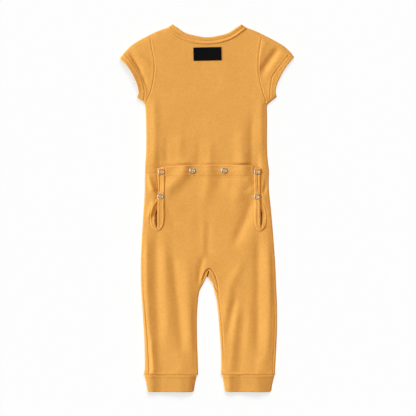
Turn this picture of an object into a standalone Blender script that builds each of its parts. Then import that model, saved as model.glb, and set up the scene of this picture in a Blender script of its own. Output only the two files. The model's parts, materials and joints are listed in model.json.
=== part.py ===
"""Baby jumpsuit with a drop seat, lying flat on its front with its back up.

Frame: +X to the right as seen from above, +Y from the hem to the neck, +Z up off the
surface that it lies on.  The origin is under the middle of the garment.  The wearer's
left is on the -X side.  Every size and table is in millimetres; MM makes them metres.

The front is one piece that lies flat and rolls up round the sides, the inside legs and
the shoulders.  Its edges meet the back pieces at the seams on the upper layer.
"""
import math

import bmesh
import bpy
from mathutils import Vector
from mathutils.bvhtree import BVHTree

MM = 0.001

# Cloth
WALL = 1.0             # one layer of soft knit
BACK_WALL = 1.1        # knit of the back layer, measured square to its slopes
DOUBLE_WALL = 1.7      # doubled cloth of cuffs and sleeve bands
NECK_WALL = 1.8        # doubled cloth of the neckband
SEAM_GAP = 0.3         # between two pieces that are sewn together
LAY_GAP = 0.35         # between a panel and what lies on it
EDGE_RADIUS = 2.4      # outer radius where the flattened cloth turns over
TUBE = 2 * EDGE_RADIUS
ROLL_STEPS = 5         # points of a turnover before the cloth lies level again
ROLL_ANGLE = 36.0      # degrees between two of them
SHARP_ANGLE = 50.0     # degrees; sharper edges aren't shaded smooth
CURVE_PARTS = 24       # straight parts between two points of a smooth curve

# Garment, driving heights along Y
WAIST_Y = 62.8         # side seams of bodice and seat meet the waist seam
UNDERLAP_Y = 48.6      # lower edge of the bodice under the flap
SLIT_END_Y = -34.2
CUFF_SEAM_Y = -300.2
CROTCH_Y = -108.5      # top of the arch where the inside leg seams meet

# Outline of the body below the armholes, and how far inside it each side seam runs
SIDES = (
    # y, left edge, right edge, left seam inset, right seam inset
    (185.4, -111.4, 108.2, 2.4, 2.4),
    (178.2, -110.3, 108.0, 2.4, 2.4),
    (162.0, -109.6, 108.4, 2.4, 2.4),
    (118.8, -109.1, 108.2, 2.4, 2.4),
    (97.2, -109.6, 108.7, 2.4, 2.4),
    (75.6, -111.1, 110.7, 2.4, 2.4),
    (64.8, -111.4, 112.1, 2.4, 2.4),
    (54.0, -111.6, 111.4, 2.4, 2.4),
    (32.4, -111.8, 111.8, 2.4, 2.4),
    (0.0, -113.6, 115.0, 2.4, 2.4),
    (-43.2, -116.5, 118.8, 2.4, 2.4),
    (-97.2, -118.8, 122.8, 2.4, 2.6),
    (-140.4, -118.3, 124.7, 3.4, 3.9),
    (-169.2, -116.6, 126.0, 4.4, 4.4),
    (-198.0, -114.8, 126.4, 5.2, 4.5),
    (-226.8, -113.0, 126.0, 5.8, 4.5),
    (-255.6, -112.0, 124.6, 6.4, 4.5),
    (-284.4, -111.6, 123.1, 7.9, 4.5),
    (-292.6, -112.4, 122.8, 8.4, 4.5),
    (-300.2, -114.3, 122.9, 9.0, 4.5),
)

# Inside legs: the visible edge of the gap and the seam, from the crotch to the cuffs
LEG_ROWS = (
    # outer y | left edge x, y | left seam x, y | right edge x, y | right seam x, y
    (-108.5, -0.7, -124.0, 3.2, -108.5, -0.7, -124.0, 3.2, -108.5),
    (-113.4, -1.4, -125.6, -1.6, -112.3, 1.6, -125.1, 7.6, -109.6),
    (-119.7, -2.7, -128.5, -5.0, -118.6, 4.9, -128.9, 12.6, -116.6),
    (-126.9, -4.7, -132.8, -7.7, -125.8, 7.9, -133.2, 16.0, -124.6),
    (-135.0, -7.0, -137.2, -9.6, -134.5, 9.9, -137.2, 18.4, -132.8),
    (-142.2, -10.1, -142.7, -12.3, -141.1, 11.7, -142.2, 19.6, -140.8),
    (-148.9, -12.8, -148.1, -15.2, -147.2, 13.3, -148.1, 20.7, -148.1),
    (-157.9, -14.8, -157.5, -17.3, -157.1, 15.5, -157.5, 21.2, -157.5),
    (-169.2, -16.0, -168.3, -18.5, -168.3, 17.8, -168.3, 22.3, -168.3),
    (-182.0, -17.1, -182.0, -19.6, -182.0, 19.6, -182.0, 23.8, -182.0),
    (-197.0, -17.8, -197.0, -20.3, -197.0, 20.9, -197.0, 25.4, -197.0),
    (-212.0, -17.8, -212.0, -20.3, -212.0, 22.0, -212.0, 27.1, -212.0),
    (-227.0, -17.6, -227.0, -20.1, -227.0, 23.1, -227.0, 28.2, -227.0),
    (-242.0, -17.4, -242.0, -19.9, -242.0, 24.1, -242.0, 29.1, -242.0),
    (-257.0, -16.9, -257.0, -19.4, -257.0, 25.0, -257.0, 29.6, -257.0),
    (-272.0, -16.3, -272.0, -18.8, -272.0, 25.5, -272.0, 29.6, -272.0),
    (-287.0, -15.9, -287.0, -18.4, -287.0, 25.5, -287.0, 28.2, -287.0),
    (-300.2, -15.5, -300.2, -18.0, -300.2, 24.6, -300.2, 27.2, -300.2),
)

# Cuffs, flat widths from the seam to the hem
CUFF_ROWS = (
    # y, left cuff x from, to, right cuff x from, to
    (-300.2, -111.8, -18.3, 27.3, 121.2),
    (-307.0, -110.8, -19.4, 28.6, 119.9),
    (-320.4, -108.0, -22.1, 31.0, 117.0),
    (-329.0, -107.4, -23.4, 32.2, 115.5),
    (-330.8, -106.6, -24.3, 33.1, 114.8),
)
CUFF_RADIUS = 2.4

# Armholes, from the shoulder edge round to the underarm edge
ARMHOLES = {
    "left": ((-103.1, 311.4), (-99.5, 290.3), (-94.3, 259.4), (-94.9, 238.7),
             (-100.6, 209.7), (-107.8, 194.2), (-111.4, 185.8)),
    "right": ((100.3, 312.1), (95.2, 290.3), (92.5, 264.6), (93.6, 238.7),
              (99.4, 212.8), (104.6, 197.2), (108.2, 184.9)),
}
ARMHOLE_STEPS = 9
UNDERARM_IN = (0.9, 0.43)        # halves the corner under the left arm

# Sleeves: folded top edge, seam of the hem band, hem, and under edge
SLEEVES = {
    "left": {
        "top": ((-103.1, 311.4), (-120.4, 302.4), (-137.0, 291.6), (-149.4, 278.7)),
        "band_top": ((-149.4, 278.7), (-156.9, 269.1)),
        "seam": ((-149.4, 278.7), (-129.4, 253.1), (-117.4, 230.4), (-111.9, 207.7),
                 (-115.7, 191.6)),
        "hem": ((-156.9, 269.1), (-142.6, 253.8), (-132.7, 237.6), (-125.6, 221.4),
                (-122.8, 208.0), (-125.3, 198.4)),
        "under": ((-111.4, 185.8), (-115.7, 191.6)),
        "band_under": ((-115.7, 191.6), (-125.3, 198.4)),
    },
    "right": {
        "top": ((100.3, 312.1), (119.3, 302.4), (137.9, 291.6), (150.7, 279.9)),
        "band_top": ((150.7, 279.9), (157.0, 271.3)),
        "seam": ((150.7, 279.9), (128.6, 251.1), (117.3, 233.5), (113.8, 208.6),
                 (115.2, 191.4)),
        "hem": ((157.0, 271.3), (142.7, 253.8), (133.2, 237.6), (125.8, 221.4),
                (123.7, 208.6), (125.6, 199.8)),
        "under": ((108.2, 184.9), (115.2, 191.4)),
        "band_under": ((115.2, 191.4), (125.6, 199.8)),
    },
}
SLEEVE_ROWS = 6
SLEEVE_SEAM_INSET = 2.0          # the seam under the arm lies on the underside
SLEEVE_FADE = (0.12, 0.2)        # shares across and along in which its folds die out
BAND_ROWS = 2
BAND_RADIUS = 2.6

# Neck, right half, from the middle of the back (and of the front) to the shoulder
NECK_EDGE = ((0.0, 306.9), (11.5, 307.8), (34.6, 313.2), (45.2, 318.6), (52.9, 324.0))
NECK_OUTER = ((0.0, 293.8), (12.8, 294.7), (26.6, 296.8), (39.2, 301.0), (51.8, 307.3),
              (61.0, 314.0))
FRONT_NECK_EDGE = ((0.0, 281.0), (16.0, 282.6), (31.0, 288.0), (43.0, 297.5),
                   (52.0, 310.0))
FRONT_NECK_OUTER = ((0.0, 268.0), (18.5, 270.2), (36.8, 277.3), (52.0, 289.0),
                    (63.0, 304.0))
NECK_TIP = (61.2, 330.7)         # inner end of the folded band at the shoulder
NECK_CORNER = (71.8, 324.0)      # outer end, where the shoulder starts
NECK_RADIUS = 3.0
NECK_BACK_STEPS = 18
NECK_FRONT_STEPS = 14
NECK_PROFILE = (
    # across the band from the neck edge, drop from its top
    (0.0, 0.6), (0.14, 0.0), (0.56, 0.3), (1.0, 0.1),
)
SHOULDER_BOW = 0.9               # how far the shoulder edge bows out from a straight line

# Columns and rows of the panels
BODICE_ROWS = 8                  # from the waist to just under the arm
BODICE_COLUMNS = 18              # between the slits
FLAP_ROWS = 8
SEAT_ROWS = 6
SEAT_COLUMNS = 30
STRIP_COLUMNS = 3                # beside each slit
CUFF_COLUMNS = 8
BAND_COLUMNS = 20
PATCH_COLUMNS = 5
PATCH_ROWS = 3

# Drop seat
FLAP_TOP = ((-89.8, 70.7), (-74.3, 74.3), (-26.8, 76.9), (20.0, 77.2), (77.6, 76.0),
            (96.1, 70.7))
FLAP_LEFT = ((70.7, -89.8), (50.4, -88.1), (21.6, -88.2), (-3.6, -89.0), (-34.2, -89.2))
FLAP_RIGHT_X = 96.4
FLAP_BAND_Y = 57.6               # seam along the lower edge of the flap's band
FLAP_RISE = 0.65                 # the flap lies higher than the seat below it
RISE_Y = (-30.0, -8.0)           # where it comes down to the seat
SLIT_RIGHT_SCALE = 0.85          # the right slit is narrower than the left one
SLIT_SIDE_EDGE = (
    # y, x of the left slit's outer edge, which slips under the flap
    (62.8, -73.6), (21.6, -73.6), (9.0, -82.6), (-3.6, -90.7), (-18.0, -92.3),
    (-28.8, -91.1), (-34.2, -89.2),
)
PLACKET_ROWS = (
    # outer x, y | inner x, y | True while it lies on the flap
    (-75.1, 73.6, -89.8, 70.4, True),
    (-75.1, 57.6, -88.7, 57.6, True),
    (-75.6, 39.6, -88.0, 39.6, True),
    (-76.1, 21.6, -88.2, 21.6, True),
    (-76.1, 3.6, -88.7, 3.6, True),
    (-75.8, -10.8, -89.0, -10.8, True),
    (-76.1, -21.6, -89.1, -22.6, True),
    (-77.9, -31.7, -89.2, -30.6, True),
    (-82.8, -39.1, -89.3, -34.8, True),
    (-90.0, -41.9, -90.0, -36.0, True),
    (-97.4, -36.6, -91.0, -34.2, False),
    (-101.3, -28.0, -91.8, -27.9, False),
    (-102.2, -16.2, -92.3, -18.0, False),
    (-100.6, -4.5, -91.3, -7.2, False),
    (-96.7, 5.4, -86.6, 1.8, False),
    (-91.6, 14.4, -80.8, 11.7, False),
    (-86.9, 22.6, -75.8, 20.7, False),
    (-84.4, 36.0, -74.2, 36.0, False),
    (-83.7, 59.8, -74.2, 59.8, False),
)
PLACKET_WALL = 1.0
BINDING_HOLD = 0.8               # past this share a binding overhangs the slit, level
BAND_WALL = 1.2
STRIP_DROP = 2.35                # how far the slit's outer side dips under the flap
UNDERLAP_DROP = 1.2
FULL_DROP = 0.72                 # share of the way to the slit at which it is reached
DROP_TOP_Y = (80.0, 112.0)       # the bodice sinks between these
DROP_END_Y = -8.0
UNDERLAP_REACH = 24.0            # inside the slit the bodice rises to its own drop

# Hardware and patch
SNAPS = (
    # x, y of the ring's centre, True on a slit binding
    (-81.7, 65.2, True), (-25.6, 67.1, False), (31.3, 67.1, False), (90.2, 65.0, True),
    (-83.0, 20.9, True), (90.2, 20.2, True),
)
SNAP_OUTER = 5.3
SNAP_INNER = 3.1
SNAP_HEIGHT = 1.0
SNAP_SIDES = 16
SNAP_BEVELS = (0.4, 0.5)         # slope of the ring's inner and outer wall
PATCH_CENTRE = (0.9, 277.0)
PATCH_SIZE = (50.2, 23.3)
PATCH_TURN = 1.2                 # degrees
PATCH_WALL = 1.0

# Folds: soft ridges (height > 0) and troughs (height < 0) along a bent line
BODY_FOLDS = (
    # x, y of start, middle and end | half width | height
    (-97.9, 201.6, -96.1, 140.4, -98.8, 86.4, 6.3, 0.8),
    (81.2, 180.0, 80.3, 122.4, 81.2, 77.4, 6.3, -0.9),
    (98.3, 203.4, 99.2, 140.4, 101.0, 77.4, 7.2, 0.6),
    (-46.6, 122.4, -48.4, 100.8, -50.2, 77.4, 10.8, 0.5),
    (5.6, 104.4, 5.6, 90.0, 3.8, 77.4, 7.2, 0.35),
    (59.6, 117.0, 60.5, 95.4, 61.4, 77.4, 10.8, 0.6),
    (-48.4, 78.0, -59.2, 50.4, -72.0, 27.0, 9.0, 0.8),
    (-25.0, 78.0, -37.6, 46.8, -62.8, 18.0, 8.1, -0.2),
    (0.2, 78.0, 0.2, 46.8, -5.2, 14.4, 10.8, 0.5),
    (23.6, 78.0, 21.8, 64.8, 20.0, 50.4, 9.0, -0.2),
    (61.4, 78.0, 57.8, 41.4, 52.4, 10.8, 10.8, 0.7),
    (80.3, 12.6, 65.0, -30.6, 47.0, -68.4, 7.2, -1.2),
    (85.7, 0.0, 74.0, -43.2, 59.6, -84.6, 9.0, 0.9),
    (-70.0, 0.0, -64.6, -14.4, -59.2, -32.4, 7.2, -0.4),
    (-2.5, -36.0, -1.6, -63.0, 2.9, -86.4, 4.5, -0.5),
    (-5.2, -90.0, -12.8, -109.8, -13.6, -136.8, 5.4, -1.3),
    (-106.9, -48.6, -107.5, -138.6, -102.4, -273.6, 6.3, 0.8),
    (-93.4, -43.2, -95.2, -147.6, -89.8, -295.2, 7.2, -1.5),
    (-77.2, -54.0, -73.6, -147.6, -68.2, -237.6, 9.0, 1.0),
    (-62.8, -75.6, -52.9, -165.6, -44.8, -255.6, 8.1, -1.4),
    (-35.8, -90.0, -32.2, -183.6, -26.8, -259.2, 9.0, 0.9),
    (66.8, -93.6, 41.6, -140.4, 32.6, -205.2, 8.1, 0.9),
    (52.4, -156.6, 43.4, -192.6, 36.2, -234.0, 6.3, -0.9),
    (59.6, -171.0, 52.4, -216.0, 45.2, -270.0, 6.3, 0.8),
    (67.7, -198.0, 62.3, -234.0, 57.8, -273.6, 6.3, -0.9),
    (75.8, -162.0, 74.9, -210.6, 74.0, -255.6, 7.2, 0.4),
    (91.1, -50.4, 89.8, -147.6, 90.2, -268.2, 7.2, -1.5),
    (109.1, -54.0, 112.7, -156.6, 108.2, -273.6, 8.1, 1.0),
)
SIDE_FOLDS = (
    # the same columns, for the strips outside the slits
    (-108.7, 59.4, -101.7, 43.2, -94.8, 27.0, 4.5, 0.8),
    (-95.0, 10.4, -101.6, 1.6, -109.5, -12.6, 4.5, 0.8),
    (111.8, 46.8, 107.5, 37.8, 103.2, 27.0, 4.5, -0.7),
)
SLEEVE_FOLDS = (
    # the same columns
    (-134.8, 280.8, -120.4, 259.2, -107.2, 221.4, 5.8, -1.1),
    (-125.8, 286.4, -114.1, 264.6, -102.6, 240.0, 5.8, 0.8),
    (126.2, 284.6, 111.8, 262.8, 101.2, 243.0, 6.3, -1.3),
    (138.8, 281.0, 122.6, 253.8, 108.2, 230.4, 6.3, 0.8),
    (110.0, 300.8, 102.8, 284.4, 97.6, 266.4, 5.4, 0.6),
)
FADE = 8.0                       # folds die out over this distance from a seam
SLIT_FADE = (2.0, 16.0)          # and between these distances from a slit
SLIT_END_FADE = 14.0             # but not below it
STRIP_FADE = 12.0                # height over which the strips' own folds start
SNAP_HOLD = 9.0                  # a snap flattens the cloth about this far round it
BODICE_FOLD_Y = (79.0, 90.0)     # no folds in the bodice under the flap
FOLD_ENDS = 0.22                 # share of a fold's length over which it rises
FOLD_LEAST = 0.25                # share of its height left at its ends

# Colours, roughness and metallic value
MATERIALS = {
    "knit": ((0.81, 0.40, 0.095, 1.0), 0.9, 0.0),
    "rib": ((0.80, 0.39, 0.09, 1.0), 0.9, 0.0),
    "binding": ((0.79, 0.38, 0.085, 1.0), 0.9, 0.0),
    "patch": ((0.012, 0.012, 0.014, 1.0), 0.8, 0.0),
    "snap": ((0.78, 0.78, 0.76, 1.0), 0.3, 1.0),
}


# ---------------------------------------------------------------- small helpers

def ramp(low, high, value):
    """Rise smoothly from 0 at low to 1 at high."""
    share = min(1.0, max(0.0, (value - low) / (high - low)))
    return share * share * (3.0 - 2.0 * share)


def mix(start, end, share):
    """Point between two points of any size."""
    return tuple(a + (b - a) * share for a, b in zip(start, end))


def shifted(point, direction, distance):
    """Plan point moved along a plan direction."""
    return (point[0] + direction[0] * distance, point[1] + direction[1] * distance)


def direction_of(start, end):
    """Unit plan vector from start to end."""
    vector = Vector((end[0] - start[0], end[1] - start[1])).normalized()
    return (vector.x, vector.y)


def table_value(rows, column, key):
    """Read a table whose first column falls, on a smooth curve through its rows."""
    ordered = rows if rows[0][0] > rows[-1][0] else rows[::-1]
    if key >= ordered[0][0]:
        return ordered[0][column]
    if key <= ordered[-1][0]:
        return ordered[-1][column]
    low = next(i for i, row in enumerate(ordered) if row[0] <= key)
    before = ordered[max(low - 2, 0)]
    start = ordered[low - 1]
    end = ordered[low]
    after = ordered[min(low + 1, len(ordered) - 1)]
    span = end[0] - start[0]
    share = (key - start[0]) / span
    slope_in = (end[column] - before[column]) / (end[0] - before[0]) * span
    slope_out = (after[column] - start[column]) / (after[0] - start[0]) * span
    square = share * share
    cube = square * share
    return ((2 * cube - 3 * square + 1) * start[column]
            + (cube - 2 * square + share) * slope_in
            + (3 * square - 2 * cube) * end[column]
            + (cube - square) * slope_out)


def resample(points, steps):
    """Spread steps + 1 points evenly along a smooth curve through plan points."""
    dense = []
    last = len(points) - 1
    for index in range(last):
        p0 = points[max(index - 1, 0)]
        p1 = points[index]
        p2 = points[index + 1]
        p3 = points[min(index + 2, last)]
        for part in range(CURVE_PARTS):
            t = part / CURVE_PARTS
            dense.append(tuple(
                0.5 * (2 * b + (c - a) * t + (2 * a - 5 * b + 4 * c - d) * t * t
                       + (3 * b - a - 3 * c + d) * t ** 3)
                for a, b, c, d in zip(p0, p1, p2, p3)))
    dense.append(points[-1])
    lengths = [0.0]
    for start, end in zip(dense, dense[1:]):
        lengths.append(lengths[-1] + math.dist(start, end))
    result = []
    cursor = 0
    for step in range(steps + 1):
        target = lengths[-1] * step / steps
        while cursor < len(dense) - 2 and lengths[cursor + 1] < target:
            cursor += 1
        piece = lengths[cursor + 1] - lengths[cursor]
        result.append(mix(dense[cursor], dense[cursor + 1], (target - lengths[cursor]) / piece))
    return result


def beside(points, distance):
    """Move a plan curve to its left by distance, square to itself."""
    result = []
    for index, point in enumerate(points):
        start = points[max(index - 1, 0)]
        end = points[min(index + 1, len(points) - 1)]
        along = direction_of(start, end)
        result.append(shifted(point, (-along[1], along[0]), distance))
    return result


def coons(bottom, top, left, right):
    """Plan grid of rows between four boundary curves that share their corners."""
    columns = len(bottom) - 1
    rows = len(left) - 1
    grid = []
    for j in range(rows + 1):
        t = j / rows
        row = []
        for i in range(columns + 1):
            s = i / columns
            row.append(tuple(
                (1 - t) * bottom[i][k] + t * top[i][k]
                + (1 - s) * left[j][k] + s * right[j][k]
                - (1 - s) * (1 - t) * bottom[0][k] - s * (1 - t) * bottom[-1][k]
                - (1 - s) * t * top[0][k] - s * t * top[-1][k]
                for k in range(2)))
        grid.append(row)
    return grid


def curve_y(points, x):
    """Height of a plan line at x, straight between its points."""
    for start, end in zip(points, points[1:]):
        if x <= end[0]:
            return start[1] + (end[1] - start[1]) * (x - start[0]) / (end[0] - start[0])
    return points[-1][1]


# ------------------------------------------------------------------- heights

def line_distance(x, y, ax, ay, bx, by):
    """Distance from a plan point to a segment, and the share along it."""
    dx = bx - ax
    dy = by - ay
    share = ((x - ax) * dx + (y - ay) * dy) / (dx * dx + dy * dy)
    held = min(1.0, max(0.0, share))
    return math.hypot(x - ax - dx * held, y - ay - dy * held), held


def relief(folds, x, y):
    """Sum of the folds at a plan point."""
    height = 0.0
    for ax, ay, bx, by, cx, cy, width, size in folds:
        first, share_a = line_distance(x, y, ax, ay, bx, by)
        second, share_b = line_distance(x, y, bx, by, cx, cy)
        along = share_a / 2 if first < second else 0.5 + share_b / 2
        fade = ramp(0.0, FOLD_ENDS, along) * ramp(0.0, FOLD_ENDS, 1.0 - along)
        share = FOLD_LEAST + (1.0 - FOLD_LEAST) * fade
        height += size * share * math.exp(-(min(first, second) / width) ** 2)
    return height


def side_edge(y, side):
    """X of the body's outline or, above the underarm, of the armhole."""
    if y <= SIDES[0][0]:
        return table_value(SIDES, 1 if side == "left" else 2, y)
    rows = tuple((py, px) for px, py in ARMHOLES[side])
    return table_value(rows, 1, y)


def seam_inset(y, side):
    """How far inside the outline the side seam runs."""
    return table_value(SIDES, 3 if side == "left" else 4, y)


def seam_x(y, side, gap):
    """X of the side seam, moved by gap into the back piece."""
    sign = 1.0 if side == "left" else -1.0
    return side_edge(y, side) + sign * (seam_inset(y, side) + gap)


def inner_seam_x(y, side):
    """X of the inside leg seam at a height below the crotch."""
    columns = (3, 4) if side == "left" else (7, 8)
    rows = tuple((row[columns[1]], row[columns[0]]) for row in LEG_ROWS)
    return table_value(rows, 1, y)


def seam_fade(x, y):
    """0 on the seams and 1 away from them."""
    inset = seam_inset(y, "left") if y < SIDES[0][0] else 0.0
    fade = ramp(0.0, FADE, x - side_edge(y, "left") - inset)
    inset = seam_inset(y, "right") if y < SIDES[0][0] else 0.0
    fade *= ramp(0.0, FADE, side_edge(y, "right") - inset - x)
    if y < CROTCH_Y:
        left_leg = inner_seam_x(y, "left") - x
        right_leg = x - inner_seam_x(y, "right")
        fade *= ramp(0.0, FADE, max(left_leg, right_leg))
    return fade * ramp(CUFF_SEAM_Y, CUFF_SEAM_Y + FADE, y)


def snap_fade(x, y):
    """0 under each ring snap, which holds the cloth flat."""
    fade = 1.0
    for snap_x, snap_y, _ in SNAPS:
        away = math.hypot(x - snap_x, y - snap_y)
        fade *= 1.0 - math.exp(-(away / SNAP_HOLD) ** 2)
    return fade


def right_of_slit(x):
    """Mirror an X of the left slit into the right one."""
    return FLAP_RIGHT_X - (x - FLAP_LEFT[-1][1]) * SLIT_RIGHT_SCALE


def slit_edge(y, side):
    """X of the slit's outer edge, under the flap."""
    x = table_value(SLIT_SIDE_EDGE, 1, y)
    return x if side == "left" else right_of_slit(x)


def flap_edge(y, side):
    """X of the flap's side edge."""
    return table_value(FLAP_LEFT, 1, y) if side == "left" else FLAP_RIGHT_X


def dip(x, y):
    """How far the bodice and the strips beside the slits sink to pass under the flap."""
    side = "left" if x < 0.0 else "right"
    reach = abs(slit_edge(y, side) - seam_x(y, side, 0.0))
    inside = abs(x - seam_x(y, side, 0.0))
    depth = STRIP_DROP * ramp(0.0, FULL_DROP, inside / reach)
    depth -= (STRIP_DROP - UNDERLAP_DROP) * ramp(reach, reach + UNDERLAP_REACH, inside)
    return depth * (1.0 - ramp(*DROP_TOP_Y, y)) * ramp(SLIT_END_Y, DROP_END_Y, y)


def bodice_height(x, y):
    """Top of the back bodice."""
    folds = relief(BODY_FOLDS, x, y) * ramp(*BODICE_FOLD_Y, y)
    return TUBE + folds * seam_fade(x, y) - dip(x, y)


def seat_folds(x, y):
    """Folds of the seat and legs, fading at seams and snaps."""
    return relief(BODY_FOLDS, x, y) * seam_fade(x, y) * snap_fade(x, y)


def strip_height(x, y):
    """Top of the seat panel's strips outside the slits."""
    above = ramp(SLIT_END_Y, SLIT_END_Y + STRIP_FADE, y)
    folds = relief(SIDE_FOLDS, x, y) * seam_fade(x, y) * above
    return TUBE + folds + seat_folds(x, y) * (1.0 - above) - dip(x, y)


def seat_height(x, y):
    """Top of the flap, the seat and the back legs."""
    beside_slit = min(x - flap_edge(y, "left"), flap_edge(y, "right") - x)
    below_slit = 1.0 - ramp(SLIT_END_Y, SLIT_END_Y + SLIT_END_FADE, y)
    held = max(ramp(*SLIT_FADE, beside_slit), below_slit)
    return TUBE + FLAP_RISE * ramp(*RISE_Y, y) + seat_folds(x, y) * held


# ------------------------------------------------------------------ mesh parts

class Surface:
    """Outer face of a piece of cloth; points at the same place are shared."""

    def __init__(self):
        self.points = []
        self.faces = []
        self.index = {}

    def point(self, position):
        key = tuple(round(value, 3) for value in position)
        if key not in self.index:
            self.index[key] = len(self.points)
            self.points.append(position)
        return self.index[key]

    def face(self, positions, flip=False):
        corners = []
        for position in positions:
            corner = self.point(position)
            if corner not in corners:
                corners.append(corner)
        if len(corners) > 2:
            self.faces.append(corners[::-1] if flip else corners)

    def grid(self, rows, flip=False, closed=False):
        """Quads between rows of points; closed joins each row's end to its start."""
        for lower, upper in zip(rows, rows[1:]):
            count = len(lower)
            for i in range(count if closed else count - 1):
                k = (i + 1) % count
                self.face((lower[i], lower[k], upper[k], upper[i]), flip)


def lying_height(panel, x, y, hidden=False):
    """Height of a panel's outer face; a hidden stretch is found from below."""
    start = Vector((x, y, -50.0 if hidden else 50.0))
    way = Vector((0.0, 0.0, 1.0 if hidden else -1.0))
    hit = panel.ray_cast(start, way)[0]
    if hit is None:
        hit = panel.find_nearest(Vector((x, y, TUBE)))[0]
    return hit.z


def panel_tree(surface):
    """Search tree of a panel's outer face, for what lies on it."""
    return BVHTree.FromPolygons(surface.points, surface.faces)


def material_of(kind):
    """One Principled material for each kind of cloth or metal."""
    if kind in bpy.data.materials:
        return bpy.data.materials[kind]
    colour, roughness, metallic = MATERIALS[kind]
    material = bpy.data.materials.new(kind)
    material.use_nodes = True
    shader = material.node_tree.nodes["Principled BSDF"]
    shader.inputs["Base Color"].default_value = colour
    shader.inputs["Roughness"].default_value = roughness
    shader.inputs["Metallic"].default_value = metallic
    return material


def make_object(name, points, faces, kind):
    """Mesh object in metres from points in millimetres."""
    mesh = bpy.data.meshes.new(name)
    mesh.from_pydata([tuple(value * MM for value in point) for point in points], [], faces)
    mesh.materials.append(material_of(kind))
    mesh.shade_smooth()
    mesh.set_sharp_from_angle(angle=math.radians(SHARP_ANGLE))
    piece = bpy.data.objects.new(name, mesh)
    bpy.context.collection.objects.link(piece)
    return piece


def make_layer(name, surface, wall, kind):
    """Cloth that lies flat, its wall measured straight down from its upper face."""
    piece = make_object(name, surface.points, surface.faces, kind)
    body = bmesh.new()
    body.from_mesh(piece.data)
    lower = bmesh.ops.extrude_face_region(body, geom=body.faces[:], use_keep_orig=True)
    moved = [item for item in lower["geom"] if isinstance(item, bmesh.types.BMVert)]
    bmesh.ops.translate(body, verts=moved, vec=(0.0, 0.0, -wall * MM))
    bmesh.ops.recalc_face_normals(body, faces=body.faces[:])
    body.to_mesh(piece.data)
    body.free()
    return piece


def make_cloth(name, surface, wall, kind):
    """Cloth of one wall thickness, built inwards from its outer face."""
    piece = make_object(name, surface.points, surface.faces, kind)
    solidify = piece.modifiers.new("wall", "SOLIDIFY")
    solidify.thickness = wall * MM
    solidify.offset = -1.0
    solidify.use_even_offset = True
    solidify.use_quality_normals = True
    return piece


# --------------------------------------------------------------- edge turnovers

def roll_section(edge, inward, reach, radius=EDGE_RADIUS):
    """Section from the flat underside round the edge and in by reach on the top."""
    points = []
    for step in range(ROLL_STEPS):
        angle = math.radians(ROLL_ANGLE * step)
        points.append((radius - radius * math.sin(angle), radius - radius * math.cos(angle)))
    start = points[-1][0]
    for share in (0.45, 1.0):
        distance = start + (reach - start) * share
        held = min(distance, radius)
        points.append((distance, radius + math.sqrt(radius ** 2 - (radius - held) ** 2)))
    return [(*shifted(edge, inward, distance), height) for distance, height in points]


def half_turn(edge, inward, radius, steps=4):
    """Points round an edge between the top and the bottom layer, both left out."""
    points = []
    for step in range(1, steps):
        angle = math.pi * step / steps
        place = shifted(edge, inward, radius - radius * math.sin(angle))
        points.append((*place, radius + radius * math.cos(angle)))
    return points


# ---------------------------------------------------------------- neck curves

def neck_side(side):
    """Tip, corner and inward direction of the band's fold at one shoulder."""
    sign = -1.0 if side == "left" else 1.0
    tip = (NECK_TIP[0] * sign, NECK_TIP[1])
    corner = (NECK_CORNER[0] * sign, NECK_CORNER[1])
    along = direction_of(corner, tip)
    inward = (along[1], -along[0]) if side == "left" else (-along[1], along[0])
    return tip, corner, inward


def neck_curve(half, end, radius, steps):
    """Whole neck curve, left to right, from a table of its right half."""
    right = [shifted(end[1], end[2], radius)]
    left = [shifted(end[0], end[3], radius)]
    middle = [(-x, y) for x, y in half[:0:-1]] + list(half)
    return resample(left + middle + right, steps)


def neck_curves():
    """Edge and outer curves of the band on the back and on the front."""
    left_tip, left_corner, left_in = neck_side("left")
    right_tip, right_corner, right_in = neck_side("right")
    tips = (left_tip, right_tip, right_in, left_in)
    corners = (left_corner, right_corner, right_in, left_in)
    return {
        "edge": neck_curve(NECK_EDGE, tips, NECK_RADIUS, NECK_BACK_STEPS),
        "outer": neck_curve(NECK_OUTER, corners, NECK_RADIUS, NECK_BACK_STEPS),
        "front_edge": neck_curve(FRONT_NECK_EDGE, tips, NECK_RADIUS, NECK_FRONT_STEPS),
        "front_outer": neck_curve(FRONT_NECK_OUTER, corners, NECK_RADIUS,
                                  NECK_FRONT_STEPS),
    }


def shoulder_rows(side):
    """Edge points and inward directions from the armhole to the neckband."""
    start = ARMHOLES[side][0]
    _, corner, neck_in = neck_side(side)
    along = direction_of(corner, start)
    corner = shifted(corner, along, SEAM_GAP)
    square = (-along[1], along[0]) if side == "left" else (along[1], -along[0])
    middle = shifted(mix(start, corner, 0.5), square, -SHOULDER_BOW)
    armhole_in = direction_of(start, ARMHOLES[side][1])
    return [(start, armhole_in), (middle, square), (corner, neck_in)]


def underarm(side):
    """Edge point under the arm and the direction that halves its corner."""
    sign = 1.0 if side == "left" else -1.0
    across, up = UNDERARM_IN
    return ARMHOLES[side][-1], direction_of((0.0, 0.0), (across * sign, up))


def armhole_curve(side, radius, gap):
    """Armhole between its two turned edges, moved by gap into the body."""
    shoulder, armhole_in = shoulder_rows(side)[0]
    under, under_in = underarm(side)
    points = [shifted(shoulder, armhole_in, radius), *ARMHOLES[side][1:-1],
              shifted(under, under_in, radius)]
    sign = 1.0 if side == "left" else -1.0
    return beside(resample(points, ARMHOLE_STEPS), sign * gap)


# ----------------------------------------------------------------------- rows

def bodice_rows():
    """Heights of the bodice's rows from the waist to just under the arm."""
    low = WAIST_Y + SEAM_GAP / 2
    high = SIDES[1][0]
    return [low + (high - low) * row / (BODICE_ROWS - 1) for row in range(BODICE_ROWS)]


def flap_rows():
    """Heights of the seat's rows from the waist to the end of the slits."""
    top = WAIST_Y - SEAM_GAP / 2
    return [top + (SLIT_END_Y - top) * row / FLAP_ROWS for row in range(FLAP_ROWS + 1)]


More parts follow.
